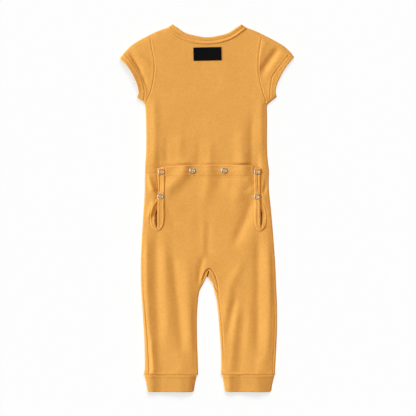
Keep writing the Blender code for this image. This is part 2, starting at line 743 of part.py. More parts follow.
def seat_rows():
    """Heights of the seat's rows from below the slits to the crotch."""
    fall = CROTCH_Y - SLIT_END_Y
    return [SLIT_END_Y + fall * row / SEAT_ROWS for row in range(1, SEAT_ROWS)]


def leg_rows():
    """Leg rows; the last one stops short of the cuff."""
    rows = [list(row) for row in LEG_ROWS]
    for column in (0, 2, 4, 6, 8):
        rows[-1][column] += SEAM_GAP / 2
    return rows


# --------------------------------------------------------------------- pieces

def inner_sections():
    """Turned sections along the gap between the legs, left cuff to right cuff."""
    rows = leg_rows()
    sections = []
    for side_rows, edge, seam in ((rows[:0:-1], 1, 3), (rows, 5, 7)):
        for row in side_rows:
            edge_point = (row[edge], row[edge + 1])
            seam_point = (row[seam], row[seam + 1])
            inward = direction_of(edge_point, seam_point)
            reach = math.dist(edge_point, seam_point) - SEAM_GAP / 2
            sections.append(roll_section(edge_point, inward, reach))
    return sections


def side_sections(side):
    """Turned sections down one side, from the underarm to the cuff."""
    sign = 1.0 if side == "left" else -1.0
    under, under_in = underarm(side)
    away = (under_in[1] * sign, -under_in[0] * sign)
    start = shifted(under, away, SEAM_GAP / 2)
    sections = [roll_section(start, under_in, EDGE_RADIUS - SEAM_GAP / 2)]
    heights = bodice_rows()[::-1] + flap_rows() + seat_rows() + [row[0] for row in leg_rows()]
    for y in heights:
        reach = seam_inset(y, side) - SEAM_GAP / 2
        sections.append(roll_section((side_edge(y, side), y), (sign, 0.0), reach))
    return sections


def shoulder_sections(side):
    """Turned sections along one shoulder, armhole to neckband."""
    sections = []
    for row, (edge, inward) in enumerate(shoulder_rows(side)):
        if row == 0:
            _, corner, _ = neck_side(side)
            edge = shifted(edge, direction_of(edge, corner), SEAM_GAP / 2)
        sections.append(roll_section(edge, inward, EDGE_RADIUS - SEAM_GAP / 2))
    return sections


def make_front():
    """Front of the bodice and both legs, with its turned edges."""
    surface = Surface()
    left = side_sections("left")
    right = side_sections("right")
    inner = inner_sections()
    shoulders = {side: shoulder_sections(side) for side in ("left", "right")}
    surface.grid(left, flip=True)
    surface.grid(right)
    surface.grid(inner, flip=True)
    surface.grid(shoulders["left"])
    surface.grid(shoulders["right"], flip=True)

    legs = len(leg_rows())
    torso = len(left) - legs
    crotch = len(inner) // 2
    for row in range(1, torso + 1):
        upper = (left[row - 1][0], right[row - 1][0])
        lower = (left[row][0], right[row][0])
        middle = (inner[crotch][0],) if row == torso else ()
        surface.face((lower[0], *middle, lower[1], upper[1], upper[0]), flip=True)
    for row in range(1, legs):
        k = torso + row
        surface.face((left[k][0], inner[crotch - row][0], inner[crotch - row + 1][0],
                      left[k - 1][0]), flip=True)
        surface.face((inner[crotch + row][0], right[k][0], right[k - 1][0],
                      inner[crotch + row - 1][0]), flip=True)

    neck = beside(neck_curves()["front_outer"], -SEAM_GAP)[1:-1]
    loop = [left[0][0]]
    loop += [(*point, 0.0) for point in armhole_curve("left", EDGE_RADIUS, SEAM_GAP / 2)[-2:0:-1]]
    loop += [section[0] for section in shoulders["left"]]
    loop += [(*point, 0.0) for point in neck]
    loop += [section[0] for section in shoulders["right"][::-1]]
    loop += [(*point, 0.0) for point in armhole_curve("right", EDGE_RADIUS, SEAM_GAP / 2)[1:-1]]
    loop += [right[0][0]]
    surface.face(loop)
    make_cloth("front", surface, WALL, "knit")


def raised(grid, height):
    """Plan grid lifted to a height function."""
    return [[(x, y, height(x, y)) for x, y in row] for row in grid]


def make_back_bodice():
    """Back of the bodice, whose lower edge runs on under the flap."""
    inset = EDGE_RADIUS + SEAM_GAP / 2
    sides = {}
    for side in ("left", "right"):
        armhole = armhole_curve(side, inset, SEAM_GAP / 2)[::-1]
        sides[side] = [(seam_x(y, side, SEAM_GAP / 2), y) for y in bodice_rows()] + armhole
    waist = WAIST_Y + SEAM_GAP / 2
    left_x = sides["left"][0][0]
    right_x = sides["right"][0][0]
    inner_left = slit_edge(WAIST_Y, "left")
    inner_right = slit_edge(WAIST_Y, "right")
    underlap = inner_right - inner_left
    bottom = [(left_x + (inner_left - left_x) * i / 4, waist) for i in range(5)]
    bottom += [(inner_left + underlap * i / BODICE_COLUMNS, UNDERLAP_Y)
               for i in range(1, BODICE_COLUMNS)]
    bottom += [(inner_right + (right_x - inner_right) * i / 4, waist) for i in range(5)]
    top = []
    for side in ("left", "right"):
        ends = [shifted(edge, inward, inset) for edge, inward in shoulder_rows(side)]
        ends[0] = sides[side][-1]
        shoulder = [ends[0], mix(ends[0], ends[1], 0.5), ends[1], mix(ends[1], ends[2], 0.5),
                    ends[2]]
        top.append(shoulder if side == "left" else shoulder[::-1])
    neck = beside(neck_curves()["outer"], -SEAM_GAP)[1:-1]
    top_row = top[0] + neck + top[1]
    surface = Surface()
    surface.grid(raised(coons(bottom, top_row, sides["left"], sides["right"]),
                        bodice_height))
    make_layer("back_bodice", surface, BACK_WALL, "knit")
    return panel_tree(surface)


def seat_columns(y):
    """X of the seat's columns below the slits, even in the legs."""
    steps = SEAT_COLUMNS
    strip = STRIP_COLUMNS
    left = seam_x(y, "left", SEAM_GAP / 2)
    right = seam_x(y, "right", SEAM_GAP / 2)
    slit_left = FLAP_LEFT[-1][1]
    slit_right = FLAP_RIGHT_X
    share = 1.0 - ramp(SLIT_END_Y, CROTCH_Y, y)
    columns = []
    for i in range(steps + 1):
        if i <= strip:
            split = left + (slit_left - left) * i / strip
        elif i <= steps - strip:
            split = slit_left + (slit_right - slit_left) * (i - strip) / (steps - 2 * strip)
        else:
            split = slit_right + (right - slit_right) * (i - steps + strip) / strip
        even = left + (right - left) * i / steps
        columns.append(split * share + even * (1.0 - share))
    return columns


def make_seat_panel():
    """Flap, seat and back legs in one piece, with a slit at each side."""
    strip = STRIP_COLUMNS
    flap_columns = SEAT_COLUMNS - 2 * strip
    surface = Surface()
    heights = flap_rows()
    flap = []
    strips = {"left": [], "right": []}
    for row, y in enumerate(heights):
        share = row / (len(heights) - 1)
        left = flap_edge(y, "left")
        right = flap_edge(y, "right")
        line = []
        for i in range(flap_columns + 1):
            x = left + (right - left) * i / flap_columns
            top = curve_y(FLAP_TOP, x)
            line.append((x, top + (SLIT_END_Y - top) * share))
        flap.append(line)
        for side in ("left", "right"):
            outer = seam_x(y, side, SEAM_GAP / 2)
            inner = slit_edge(y, side)
            strips[side].append([(outer + (inner - outer) * i / strip, y)
                                 for i in range(strip + 1)])
    surface.grid(raised(flap, seat_height), flip=True)
    surface.grid(raised(strips["left"], strip_height), flip=True)
    surface.grid(raised(strips["right"], strip_height))

    columns = [[(x, y) for x in seat_columns(y)] for y in [SLIT_END_Y] + seat_rows()]
    crotch = leg_rows()[0]
    half = SEAT_COLUMNS // 2
    left = (seam_x(CROTCH_Y, "left", SEAM_GAP / 2), CROTCH_Y)
    right = (seam_x(CROTCH_Y, "right", SEAM_GAP / 2), CROTCH_Y)
    middle = (crotch[3], crotch[4] + SEAM_GAP / 2)
    last = [mix(left, middle, i / half) for i in range(half)]
    last += [mix(middle, right, i / half) for i in range(half + 1)]
    surface.grid(raised(columns + [last], seat_height), flip=True)

    for side, seam in (("left", 3), ("right", 7)):
        grid = [last[:half + 1] if side == "left" else last[half:]]
        for row in leg_rows()[1:]:
            y = row[0]
            outer = (seam_x(y, side, SEAM_GAP / 2), y)
            sign = -1.0 if side == "left" else 1.0
            inner = (row[seam] + sign * SEAM_GAP / 2, row[seam + 1] + SEAM_GAP / 4)
            if row is leg_rows()[-1]:
                inner = (inner[0], y)
            ends = (outer, inner) if side == "left" else (inner, outer)
            grid.append([mix(*ends, i / half) for i in range(half + 1)])
        surface.grid(raised(grid, seat_height), flip=True)
    make_layer("seat_panel", surface, BACK_WALL, "knit")
    return panel_tree(surface)


def band_seam_ends(side):
    """Directions in which the seam of the sleeve's band leaves its two edges."""
    table = SLEEVES[side]
    seam = table["seam"]
    along = direction_of(table["under"][0], table["band_under"][-1])
    square = (along[1], -along[0]) if side == "left" else (-along[1], along[0])
    leaving = direction_of(seam[-1], seam[-2])
    return direction_of(seam[0], seam[1]), direction_of((0.0, 0.0), mix(square, leaving, 0.5))


def sleeve_sides(side):
    """Edge rows and inward directions of the sleeve's top and under edges."""
    table = SLEEVES[side]
    shoulder, shoulder_in = shoulder_rows(side)[0]
    under, under_in = underarm(side)
    seam_in, seam_out = band_seam_ends(side)
    top = resample(table["top"], SLEEVE_ROWS)
    low = resample(table["under"], SLEEVE_ROWS)
    rows = []
    for row in range(SLEEVE_ROWS + 1):
        share = row / SLEEVE_ROWS
        rows.append((top[row], mix(shoulder_in, seam_in, share),
                     low[row], mix(under_in, seam_out, share)))
    return rows


def pulled_back(rows, gap_start, gap_end):
    """Shorten a list of edge rows at both ends by a seam gap."""
    result = [list(row) for row in rows]
    for column in (0, 2):
        first = direction_of(rows[0][column], rows[1][column])
        final = direction_of(rows[-1][column], rows[-2][column])
        result[0][column] = shifted(rows[0][column], first, gap_start)
        result[-1][column] = shifted(rows[-1][column], final, gap_end)
    return result


def sleeve_height(x, y, top, share_across, share_along):
    """Top of a sleeve, flat at its seams and edges."""
    across, along = SLEEVE_FADE
    fade = ramp(0.0, across, share_across) * ramp(0.0, across, 1.0 - share_across)
    fade *= ramp(0.0, along, share_along) * ramp(0.0, along, 1.0 - share_along)
    return top + relief(SLEEVE_FOLDS, x, y) * fade


def make_sleeve(side):
    """Short sleeve in one piece, with its seam under the arm."""
    sign = 1.0 if side == "left" else -1.0
    rows = pulled_back(sleeve_sides(side), SEAM_GAP / 2, SEAM_GAP / 2)
    armhole = armhole_curve(side, EDGE_RADIUS, -SEAM_GAP / 2)
    seam = SLEEVES[side]["seam"]
    top = [shifted(edge, inward, EDGE_RADIUS) for edge, inward, _, _ in rows]
    low = [shifted(edge, inward, EDGE_RADIUS) for _, _, edge, inward in rows]
    cuff_line = resample((top[-1], *seam[1:-1], low[-1]), ARMHOLE_STEPS)
    armhole = [top[0], *armhole[1:-1], low[0]]
    cuff_line = beside(cuff_line, sign * SEAM_GAP / 2)
    cuff_line = [top[-1], *cuff_line[1:-1], low[-1]]
    grid = coons(armhole, cuff_line, top, low)
    surface = Surface()
    shell = []
    seam_end = []
    for j, row in enumerate(grid):
        across = len(row) - 1
        along = direction_of(row[-1], row[-2])
        line = [(*shifted(row[-1], along, SLEEVE_SEAM_INSET), 0.0)]
        seam_end.append((*shifted(row[-1], along, SLEEVE_SEAM_INSET + SEAM_GAP), 0.0))
        section = roll_section(rows[j][2], rows[j][3], EDGE_RADIUS)
        line += section[:ROLL_STEPS]
        line += [(x, y, sleeve_height(x, y, TUBE, i / across, j / SLEEVE_ROWS))
                 for i, (x, y) in enumerate(row)][::-1]
        line += half_turn(rows[j][0], rows[j][1], EDGE_RADIUS, 5)
        line.append((*row[0], 0.0))
        shell.append(line)
    surface.grid(shell, flip=side == "right")
    underside = [(*point, 0.0) for point in grid[0][:-1]] + seam_end
    underside += [(*point, 0.0) for point in grid[-1][-2::-1]]
    underside += [(*row[0], 0.0) for row in grid[-2:0:-1]]
    surface.face(underside, flip=side == "right")
    make_cloth(f"sleeve_{side}", surface, WALL, "knit")


def make_sleeve_band(side):
    """Doubled ring at the sleeve's hem."""
    sign = 1.0 if side == "left" else -1.0
    table = SLEEVES[side]
    top = resample(table["band_top"], BAND_ROWS)
    low = resample(table["band_under"], BAND_ROWS)
    starts = band_seam_ends(side)
    ends = (direction_of(table["hem"][0], table["hem"][1]),
            direction_of(table["hem"][-1], table["hem"][-2]))
    rows = []
    for row in range(BAND_ROWS + 1):
        share = row / BAND_ROWS
        rows.append((top[row], mix(starts[0], ends[0], share),
                     low[row], mix(starts[1], ends[1], share)))
    rows = pulled_back(rows, SEAM_GAP / 2, 0.0)
    tops = [shifted(edge, inward, BAND_RADIUS) for edge, inward, _, _ in rows]
    lows = [shifted(edge, inward, BAND_RADIUS) for _, _, edge, inward in rows]
    seam = resample((tops[0], *table["seam"][1:-1], lows[0]), ARMHOLE_STEPS)
    seam = beside(seam, -sign * SEAM_GAP / 2)
    seam = [tops[0], *seam[1:-1], lows[0]]
    hem = resample((tops[-1], *table["hem"][1:-1], lows[-1]), ARMHOLE_STEPS)
    grid = coons(seam, hem, tops, lows)
    surface = Surface()
    loops = []
    for j, row in enumerate(grid):
        loop = [(*point, 2 * BAND_RADIUS) for point in row]
        loop += half_turn(rows[j][2], rows[j][3], BAND_RADIUS)
        loop += [(*point, 0.0) for point in row[::-1]]
        loop += half_turn(rows[j][0], rows[j][1], BAND_RADIUS)[::-1]
        loops.append(loop)
    surface.grid(loops, flip=side == "left", closed=True)
    make_cloth(f"sleeve_band_{side}", surface, DOUBLE_WALL, "rib")


def make_neckband():
    """Closed ring of doubled cloth round the neck."""
    curves = neck_curves()
    left_tip, left_corner, left_in = neck_side("left")
    right_tip, right_corner, right_in = neck_side("right")
    top = 2 * NECK_RADIUS
    loops = []
    for across, drop in NECK_PROFILE:
        loop = [(*mix(a, b, across), top - drop)
                for a, b in zip(curves["edge"], curves["outer"])]
        edge = mix(right_tip, right_corner, across)
        loop += half_turn(edge, right_in, NECK_RADIUS)
        loop += [(*mix(a, b, across), 0.0)
                 for a, b in zip(curves["front_edge"], curves["front_outer"])][::-1]
        edge = mix(left_tip, left_corner, across)
        loop += half_turn(edge, left_in, NECK_RADIUS)[::-1]
        loops.append(loop)
    surface = Surface()
    surface.grid(loops, flip=True, closed=True)
    make_cloth("neckband", surface, NECK_WALL, "rib")


def make_cuff(side):
    """Doubled ring round the ankle."""
    columns = (1, 2) if side == "left" else (3, 4)
    steps = CUFF_COLUMNS
    loops = []
    for row in CUFF_ROWS:
        y = row[0] - (SEAM_GAP / 2 if row is CUFF_ROWS[0] else 0.0)
        start = (row[columns[0]], y)
        end = (row[columns[1]], y)
        line = [mix(shifted(start, (1.0, 0.0), CUFF_RADIUS),
                    shifted(end, (-1.0, 0.0), CUFF_RADIUS), i / steps)
                for i in range(steps + 1)]
        loop = [(*point, 2 * CUFF_RADIUS) for point in line]
        loop += half_turn(end, (-1.0, 0.0), CUFF_RADIUS)
        loop += [(*point, 0.0) for point in line[::-1]]
        loop += half_turn(start, (1.0, 0.0), CUFF_RADIUS)[::-1]
        loops.append(loop)
    surface = Surface()
    surface.grid(loops, flip=True, closed=True)
    make_cloth(f"cuff_{side}", surface, DOUBLE_WALL, "rib")


def placket_rows():
    """Rows of a binding with one more row between each two of its table."""
    rows = []
    for start, end in zip(PLACKET_ROWS, PLACKET_ROWS[1:]):
        rows += [start, (*mix(start[:4], end[:4], 0.5), start[4])]
    return rows + [PLACKET_ROWS[-1]]


def make_placket(side, seat):
    """Binding sewn round a slit: down the flap's edge and up the outer side."""
    rows = []
    for outer_x, outer_y, inner_x, inner_y, on_flap in placket_rows():
        line = []
        for share in (0.0, 0.33, 0.67, 1.0):
            x, y = mix((outer_x, outer_y), (inner_x, inner_y), share)
            held = min(share, BINDING_HOLD)
            under_x, under_y = mix((outer_x, outer_y), (inner_x, inner_y), held)
            if side == "right":
                x = right_of_slit(x)
                under_x = right_of_slit(under_x)
            height = lying_height(seat, under_x, under_y, not on_flap)
            line.append((x, y, height + LAY_GAP + PLACKET_WALL))
        rows.append(line)
    surface = Surface()
    surface.grid(rows, flip=side == "right")
    make_layer(f"placket_{side}", surface, PLACKET_WALL, "binding")


def make_flap_band(seat):
    """Band along the flap's top between the two bindings."""
    left = PLACKET_ROWS[0][0] + SEAM_GAP
    right = right_of_slit(PLACKET_ROWS[0][0]) - SEAM_GAP
    steps = BAND_COLUMNS
    rows = []
    for share in (0.0, 0.34, 0.67, 1.0):
        row = []
        for i in range(steps + 1):
            x = left + (right - left) * i / steps
            y = FLAP_BAND_Y + (curve_y(FLAP_TOP, x) - FLAP_BAND_Y) * share
            row.append((x, y, lying_height(seat, x, y) + LAY_GAP + BAND_WALL))
        rows.append(row)
    surface = Surface()
    surface.grid(rows)
    make_layer("flap_band", surface, BAND_WALL, "knit")


def make_patch(bodice):
    """Woven patch under the back of the neck, bare."""
    turn = math.radians(PATCH_TURN)
    width, depth = PATCH_SIZE
    rows = []
    for j in range(PATCH_ROWS + 1):
        row = []
        for i in range(PATCH_COLUMNS + 1):
            u = width * (i / PATCH_COLUMNS - 0.5)
            v = depth * (j / PATCH_ROWS - 0.5)
            x = PATCH_CENTRE[0] + u * math.cos(turn) - v * math.sin(turn)
            y = PATCH_CENTRE[1] + u * math.sin(turn) + v * math.cos(turn)
            row.append((x, y, lying_height(bodice, x, y) + LAY_GAP + PATCH_WALL))
        rows.append(row)
    surface = Surface()
    surface.grid(rows)
    make_layer("label_patch", surface, PATCH_WALL, "patch")


def make_snap(number, x, y, on_binding):
    """Open ring snap, the cloth showing through its middle."""
    wall = PLACKET_WALL if on_binding else BAND_WALL
    base = seat_height(x, y) + LAY_GAP + wall + SEAM_GAP
    inner_slope, outer_slope = SNAP_BEVELS
    profile = ((SNAP_INNER, 0.0), (SNAP_OUTER, 0.0),
               (SNAP_OUTER - outer_slope, SNAP_HEIGHT),
               (SNAP_INNER + inner_slope, SNAP_HEIGHT))
    loops = []
    for radius, height in profile:
        loop = []
        for side in range(SNAP_SIDES):
            angle = 2 * math.pi * side / SNAP_SIDES
            loop.append((x + radius * math.cos(angle), y + radius * math.sin(angle),
                         base + height))
        loops.append(loop)
    surface = Surface()
    surface.grid(loops + [loops[0]], closed=True)
    make_object(f"snap_{number}", surface.points, surface.faces, "snap")


def main():
    for item in list(bpy.data.objects):
        bpy.data.objects.remove(item)
    make_front()
    bodice = make_back_bodice()
    seat = make_seat_panel()
    for side in ("left", "right"):
        make_sleeve(side)
        make_sleeve_band(side)
        make_cuff(side)
        make_placket(side, seat)
    make_neckband()
    make_flap_band(seat)
    make_patch(bodice)
    for number, (x, y, on_binding) in enumerate(SNAPS, 1):
        make_snap(number, x, y, on_binding)


main()
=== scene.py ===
"""Looks of a baby jumpsuit with a drop seat, lying flat on its front with its back up.

Frame: +X to the right as seen from above, +Y from the hem to the neck, +Z up.  The
wearer's left is on the -X side.  Tables and sizes are in millimetres; MM makes them
metres.  Each cloth piece follows the outline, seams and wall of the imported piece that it
stands for.  Its outer face adds the creases, the seam ridges and the sewing.
"""
import json
import math

import bmesh
import bpy
from mathutils import Matrix, Vector, noise
from mathutils.bvhtree import BVHTree

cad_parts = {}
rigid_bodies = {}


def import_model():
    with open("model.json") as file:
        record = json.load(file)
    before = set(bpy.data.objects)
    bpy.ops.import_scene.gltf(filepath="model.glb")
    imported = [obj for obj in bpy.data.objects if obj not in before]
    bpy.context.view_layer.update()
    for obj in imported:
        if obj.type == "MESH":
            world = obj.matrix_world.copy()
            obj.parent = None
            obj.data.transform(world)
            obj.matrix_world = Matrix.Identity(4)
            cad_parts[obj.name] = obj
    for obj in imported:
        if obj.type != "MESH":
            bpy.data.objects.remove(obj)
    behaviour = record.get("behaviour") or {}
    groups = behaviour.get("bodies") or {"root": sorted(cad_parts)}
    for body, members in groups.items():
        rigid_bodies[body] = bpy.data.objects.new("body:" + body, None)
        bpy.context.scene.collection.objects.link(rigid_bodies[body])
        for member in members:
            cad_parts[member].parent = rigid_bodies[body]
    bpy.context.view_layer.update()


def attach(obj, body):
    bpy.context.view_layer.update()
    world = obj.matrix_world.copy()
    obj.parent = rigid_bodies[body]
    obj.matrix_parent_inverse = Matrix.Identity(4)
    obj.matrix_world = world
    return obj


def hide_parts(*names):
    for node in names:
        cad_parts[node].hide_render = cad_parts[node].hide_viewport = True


MM = 0.001

# Cloth
WALL = 1.0             # one layer of soft knit
BACK_WALL = 1.1        # knit of the back layer, measured square to its slopes
DOUBLE_WALL = 1.7      # doubled cloth of cuffs and sleeve bands
NECK_WALL = 2.3        # doubled cloth of the neckband
SEAM_GAP = 0.05        # between two pieces that are sewn together
HALF_GAP = SEAM_GAP / 2
LAY_GAP = 0.35         # between a panel and what lies on it
EDGE_RADIUS = 2.4      # outer radius where the flattened cloth turns over
TUBE = 2 * EDGE_RADIUS # height of the flattened cloth
BOTH = ("left", "right")
INWARD = {"left": 1.0, "right": -1.0}     # way along X from a side's edge into the body

# Garment, driving heights along Y
WAIST_Y = 62.8         # side seams of bodice and seat meet the waist seam
UNDERLAP_Y = 48.6      # lower edge of the bodice under the flap
SLIT_END_Y = -34.2
CUFF_SEAM_Y = -300.2
CROTCH_Y = -108.5      # top of the arch where the inside leg seams meet

# Outline of the body below the armholes, and how far inside it each side seam runs
SIDES = (
    # y, left edge, right edge, left seam inset, right seam inset
    (185.4, -111.4, 108.2, 2.4, 2.4),
    (178.2, -110.3, 108.0, 2.4, 2.4),
    (162.0, -109.6, 108.4, 2.4, 2.4),
    (118.8, -109.1, 108.2, 2.4, 2.4),
    (97.2, -109.6, 108.7, 2.4, 2.4),
    (75.6, -111.1, 110.7, 2.4, 2.4),
    (64.8, -111.4, 112.1, 2.4, 2.4),
    (54.0, -111.6, 111.4, 2.4, 2.4),
    (32.4, -111.8, 111.8, 2.4, 2.4),
    (0.0, -113.6, 115.0, 2.4, 2.4),
    (-43.2, -116.5, 118.8, 2.4, 2.4),
    (-97.2, -118.8, 122.8, 2.4, 2.6),
    (-140.4, -118.3, 124.7, 3.4, 3.9),
    (-169.2, -116.6, 126.0, 4.4, 4.4),
    (-198.0, -114.8, 126.4, 5.2, 4.5),
    (-226.8, -113.0, 126.0, 5.8, 4.5),
    (-255.6, -112.0, 124.6, 6.4, 4.5),
    (-284.4, -111.6, 123.1, 7.9, 4.5),
    (-292.6, -112.4, 122.8, 8.4, 4.5),
    (-300.2, -114.3, 122.9, 9.0, 4.5),
)

# Inside legs: the visible edge of the gap and the seam, from the crotch to the cuffs
LEVEL_LEG_ROWS = (
    # y | left edge x, left seam x | right edge x, right seam x
    (-182.0, -17.1, -19.6, 19.6, 23.8),
    (-197.0, -17.8, -20.3, 20.9, 25.4),
    (-212.0, -17.8, -20.3, 22.0, 27.1),
    (-227.0, -17.6, -20.1, 23.1, 28.2),
    (-242.0, -17.4, -19.9, 24.1, 29.1),
    (-257.0, -16.9, -19.4, 25.0, 29.6),
    (-272.0, -16.3, -18.8, 25.5, 29.6),
    (-287.0, -15.9, -18.4, 25.5, 28.2),
    (-300.2, -15.5, -18.0, 24.6, 27.2),
)
LEG_ROWS = (
    # outer y | left edge x, y | left seam x, y | right edge x, y | right seam x, y
    (-108.5, -0.7, -124.0, 3.2, -108.5, -0.7, -124.0, 3.2, -108.5),
    (-113.4, -1.4, -125.6, -1.6, -112.3, 1.6, -125.1, 7.6, -109.6),
    (-119.7, -2.7, -128.5, -5.0, -118.6, 4.9, -128.9, 12.6, -116.6),
    (-126.9, -4.7, -132.8, -7.7, -125.8, 7.9, -133.2, 16.0, -124.6),
    (-135.0, -7.0, -137.2, -9.6, -134.5, 9.9, -137.2, 18.4, -132.8),
    (-142.2, -10.1, -142.7, -12.3, -141.1, 11.7, -142.2, 19.6, -140.8),
    (-148.9, -12.8, -148.1, -15.2, -147.2, 13.3, -148.1, 20.7, -148.1),
    (-157.9, -14.8, -157.5, -17.3, -157.1, 15.5, -157.5, 21.2, -157.5),
    (-169.2, -16.0, -168.3, -18.5, -168.3, 17.8, -168.3, 22.3, -168.3),
) + tuple(
    (y, left, y, left_seam, y, right, y, right_seam, y)
    for y, left, left_seam, right, right_seam in LEVEL_LEG_ROWS)

# Cuffs, flat widths from the seam to the hem
CUFF_ROWS = (
    # y, left cuff x from, to, right cuff x from, to
    (-300.2, -111.8, -18.3, 27.3, 121.2),
    (-307.0, -110.8, -19.4, 28.6, 119.9),
    (-320.4, -108.0, -22.1, 31.0, 117.0),
    (-327.4, -107.4, -23.0, 31.9, 116.1),
    (-329.8, -106.3, -24.4, 33.3, 114.6),
    (-330.8, -103.6, -27.4, 36.3, 111.6),
)
CUFF_RADIUS = 2.4                # of its turned edges

# Armholes, from the shoulder edge round to the underarm edge
ARMHOLES = {
    "left": ((-103.1, 311.4), (-99.5, 290.3), (-94.3, 259.4), (-94.9, 238.7),
             (-100.6, 209.7), (-107.8, 194.2), (-111.4, 185.8)),
    "right": ((100.3, 312.1), (95.2, 290.3), (92.5, 264.6), (93.6, 238.7),
              (99.4, 212.8), (104.6, 197.2), (108.2, 184.9)),
}
UNDERARM_IN = (0.9, 0.43)        # halves the corner under the left arm

# Sleeves: folded top edge, seam of the hem band, hem, and under edge
SLEEVES = {
    "left": {
        "top": ((-103.1, 311.4), (-120.4, 302.4), (-137.0, 291.6), (-149.4, 278.7)),
        "band_top": ((-149.4, 278.7), (-156.9, 269.1)),
        "seam": ((-149.4, 278.7), (-129.4, 253.1), (-117.4, 230.4), (-111.9, 207.7),
                 (-115.7, 191.6)),
        "hem": ((-156.9, 269.1), (-142.6, 253.8), (-132.7, 237.6), (-125.6, 221.4),
                (-122.8, 208.0), (-125.3, 198.4)),
        "under": ((-111.4, 185.8), (-115.7, 191.6)),
        "band_under": ((-115.7, 191.6), (-125.3, 198.4)),
    },
    "right": {
        "top": ((100.3, 312.1), (119.3, 302.4), (137.9, 291.6), (150.7, 279.9)),
        "band_top": ((150.7, 279.9), (157.0, 271.3)),
        "seam": ((150.7, 279.9), (128.6, 251.1), (117.3, 233.5), (113.8, 208.6),
                 (115.2, 191.4)),
        "hem": ((157.0, 271.3), (142.7, 253.8), (133.2, 237.6), (125.8, 221.4),
                (123.7, 208.6), (125.6, 199.8)),
        "under": ((108.2, 184.9), (115.2, 191.4)),
        "band_under": ((115.2, 191.4), (125.6, 199.8)),
    },
}
SLEEVE_SEAM_INSET = 2.0          # the seam under the arm lies on the underside
SLEEVE_FADE = (0.08, 0.13)       # shares across and along in which its folds die out
BAND_RADIUS = 2.6

# Neck, right half, from the middle of the back (and of the front) to the shoulder
NECK_EDGE = ((0.0, 306.9), (11.5, 307.8), (34.6, 313.2), (45.2, 318.6), (52.9, 324.0))
NECK_OUTER = ((0.0, 293.8), (12.8, 294.7), (26.6, 296.8), (39.2, 301.0), (51.8, 307.3),
              (61.0, 314.0))
FRONT_NECK_EDGE = ((0.0, 281.0), (16.0, 282.6), (31.0, 288.0), (43.0, 297.5),
                   (52.0, 310.0))
FRONT_NECK_OUTER = ((0.0, 268.0), (18.5, 270.2), (36.8, 277.3), (52.0, 289.0),
                    (63.0, 304.0))
NECK_TIP = (61.2, 330.7)         # inner end of the folded band at the shoulder
NECK_CORNER = (71.8, 324.0)      # outer end, where the shoulder starts
NECK_RADIUS = 3.0
NECK_PROFILE = (
    # across the band from the neck edge, drop from its top
    (0.0, 0.6), (0.14, 0.0), (0.56, 0.3), (1.0, 0.1),
)
SHOULDER_BOW = 0.9               # how far the shoulder edge bows out from a straight line


# Drop seat
FLAP_TOP = ((-89.8, 70.7), (-74.3, 74.3), (-26.8, 76.9), (20.0, 77.2), (77.6, 76.0),
            (96.1, 70.7))
FLAP_LEFT = (
    # y, x of its left edge
    (70.7, -89.8), (50.4, -88.1), (21.6, -88.2), (-3.6, -89.0), (-34.2, -89.2),
)
FLAP_RIGHT_X = 96.4
FLAP_BAND_Y = 57.6               # seam along the lower edge of the flap's band
FLAP_RISE = 0.65                 # the flap lies higher than the seat below it
RISE_Y = (-30.0, -8.0)           # where it comes down to the seat
SLIT_RIGHT_SCALE = 0.85          # the right slit is narrower than the left one
SLIT_SIDE_EDGE = (
    # y, x of the left slit's outer edge, which slips under the flap
    (62.8, -73.6), (21.6, -73.6), (9.0, -82.6), (-3.6, -91.4), (-18.0, -93.4),
    (-28.8, -92.4), (-34.2, -89.2),
)
PLACKET_ROWS = (
    # outer x, y | inner x, y | True while it lies on the flap
    (-75.1, 73.6, -89.8, 70.4, True),
    (-75.1, 57.6, -88.7, 57.6, True),
    (-75.6, 39.6, -88.0, 39.6, True),
    (-76.1, 21.6, -88.2, 21.6, True),
    (-76.1, 3.6, -88.7, 3.6, True),
    (-75.8, -10.8, -89.0, -10.8, True),
    (-76.1, -21.6, -89.1, -22.6, True),
    (-77.9, -31.7, -89.2, -30.6, True),
    (-82.8, -39.1, -89.3, -34.8, True),
    (-90.0, -41.9, -90.0, -36.0, True),
    (-97.4, -36.6, -91.6, -34.2, False),
    (-101.3, -28.0, -93.2, -27.9, False),
    (-102.2, -16.2, -93.4, -18.0, False),
    (-100.6, -4.5, -92.0, -7.2, False),
    (-96.7, 5.4, -86.6, 1.8, False),
    (-91.6, 14.4, -80.8, 11.7, False),
    (-86.9, 22.6, -75.8, 20.7, False),
    (-84.4, 36.0, -74.2, 36.0, False),
    (-83.7, 59.8, -74.2, 59.8, False),
)
BINDING_STEP = 3                 # of the smooth curve's points, every third is used
PLACKET_WALL = 1.0
BINDING_HOLD = 0.8               # past this share a binding overhangs the slit, level
BAND_WALL = 1.2
STRIP_DROP = 2.35                # how far the slit's outer side dips under the flap
UNDERLAP_DROP = 1.2
FULL_DROP = (0.34, 0.70)         # shares of the way to the slit between which it is reached
DROP_TOP_Y = (80.0, 112.0)       # the bodice sinks between these
DROP_END_Y = -8.0
UNDERLAP_REACH = 24.0            # inside the slit the bodice rises to its own drop

# Hardware and patch
SNAPS = (
    # x, y of the ring's centre, True on a slit binding
    (-81.7, 65.2, True), (-25.6, 67.1, False), (31.3, 67.1, False), (90.2, 65.0, True),
    (-83.0, 20.9, True), (90.2, 20.2, True),
)
PATCH_CENTRE = (0.9, 276.7)
PATCH_SIZE = (50.2, 24.0)
PATCH_TURN = 1.2                 # degrees
PATCH_WALL = 1.0

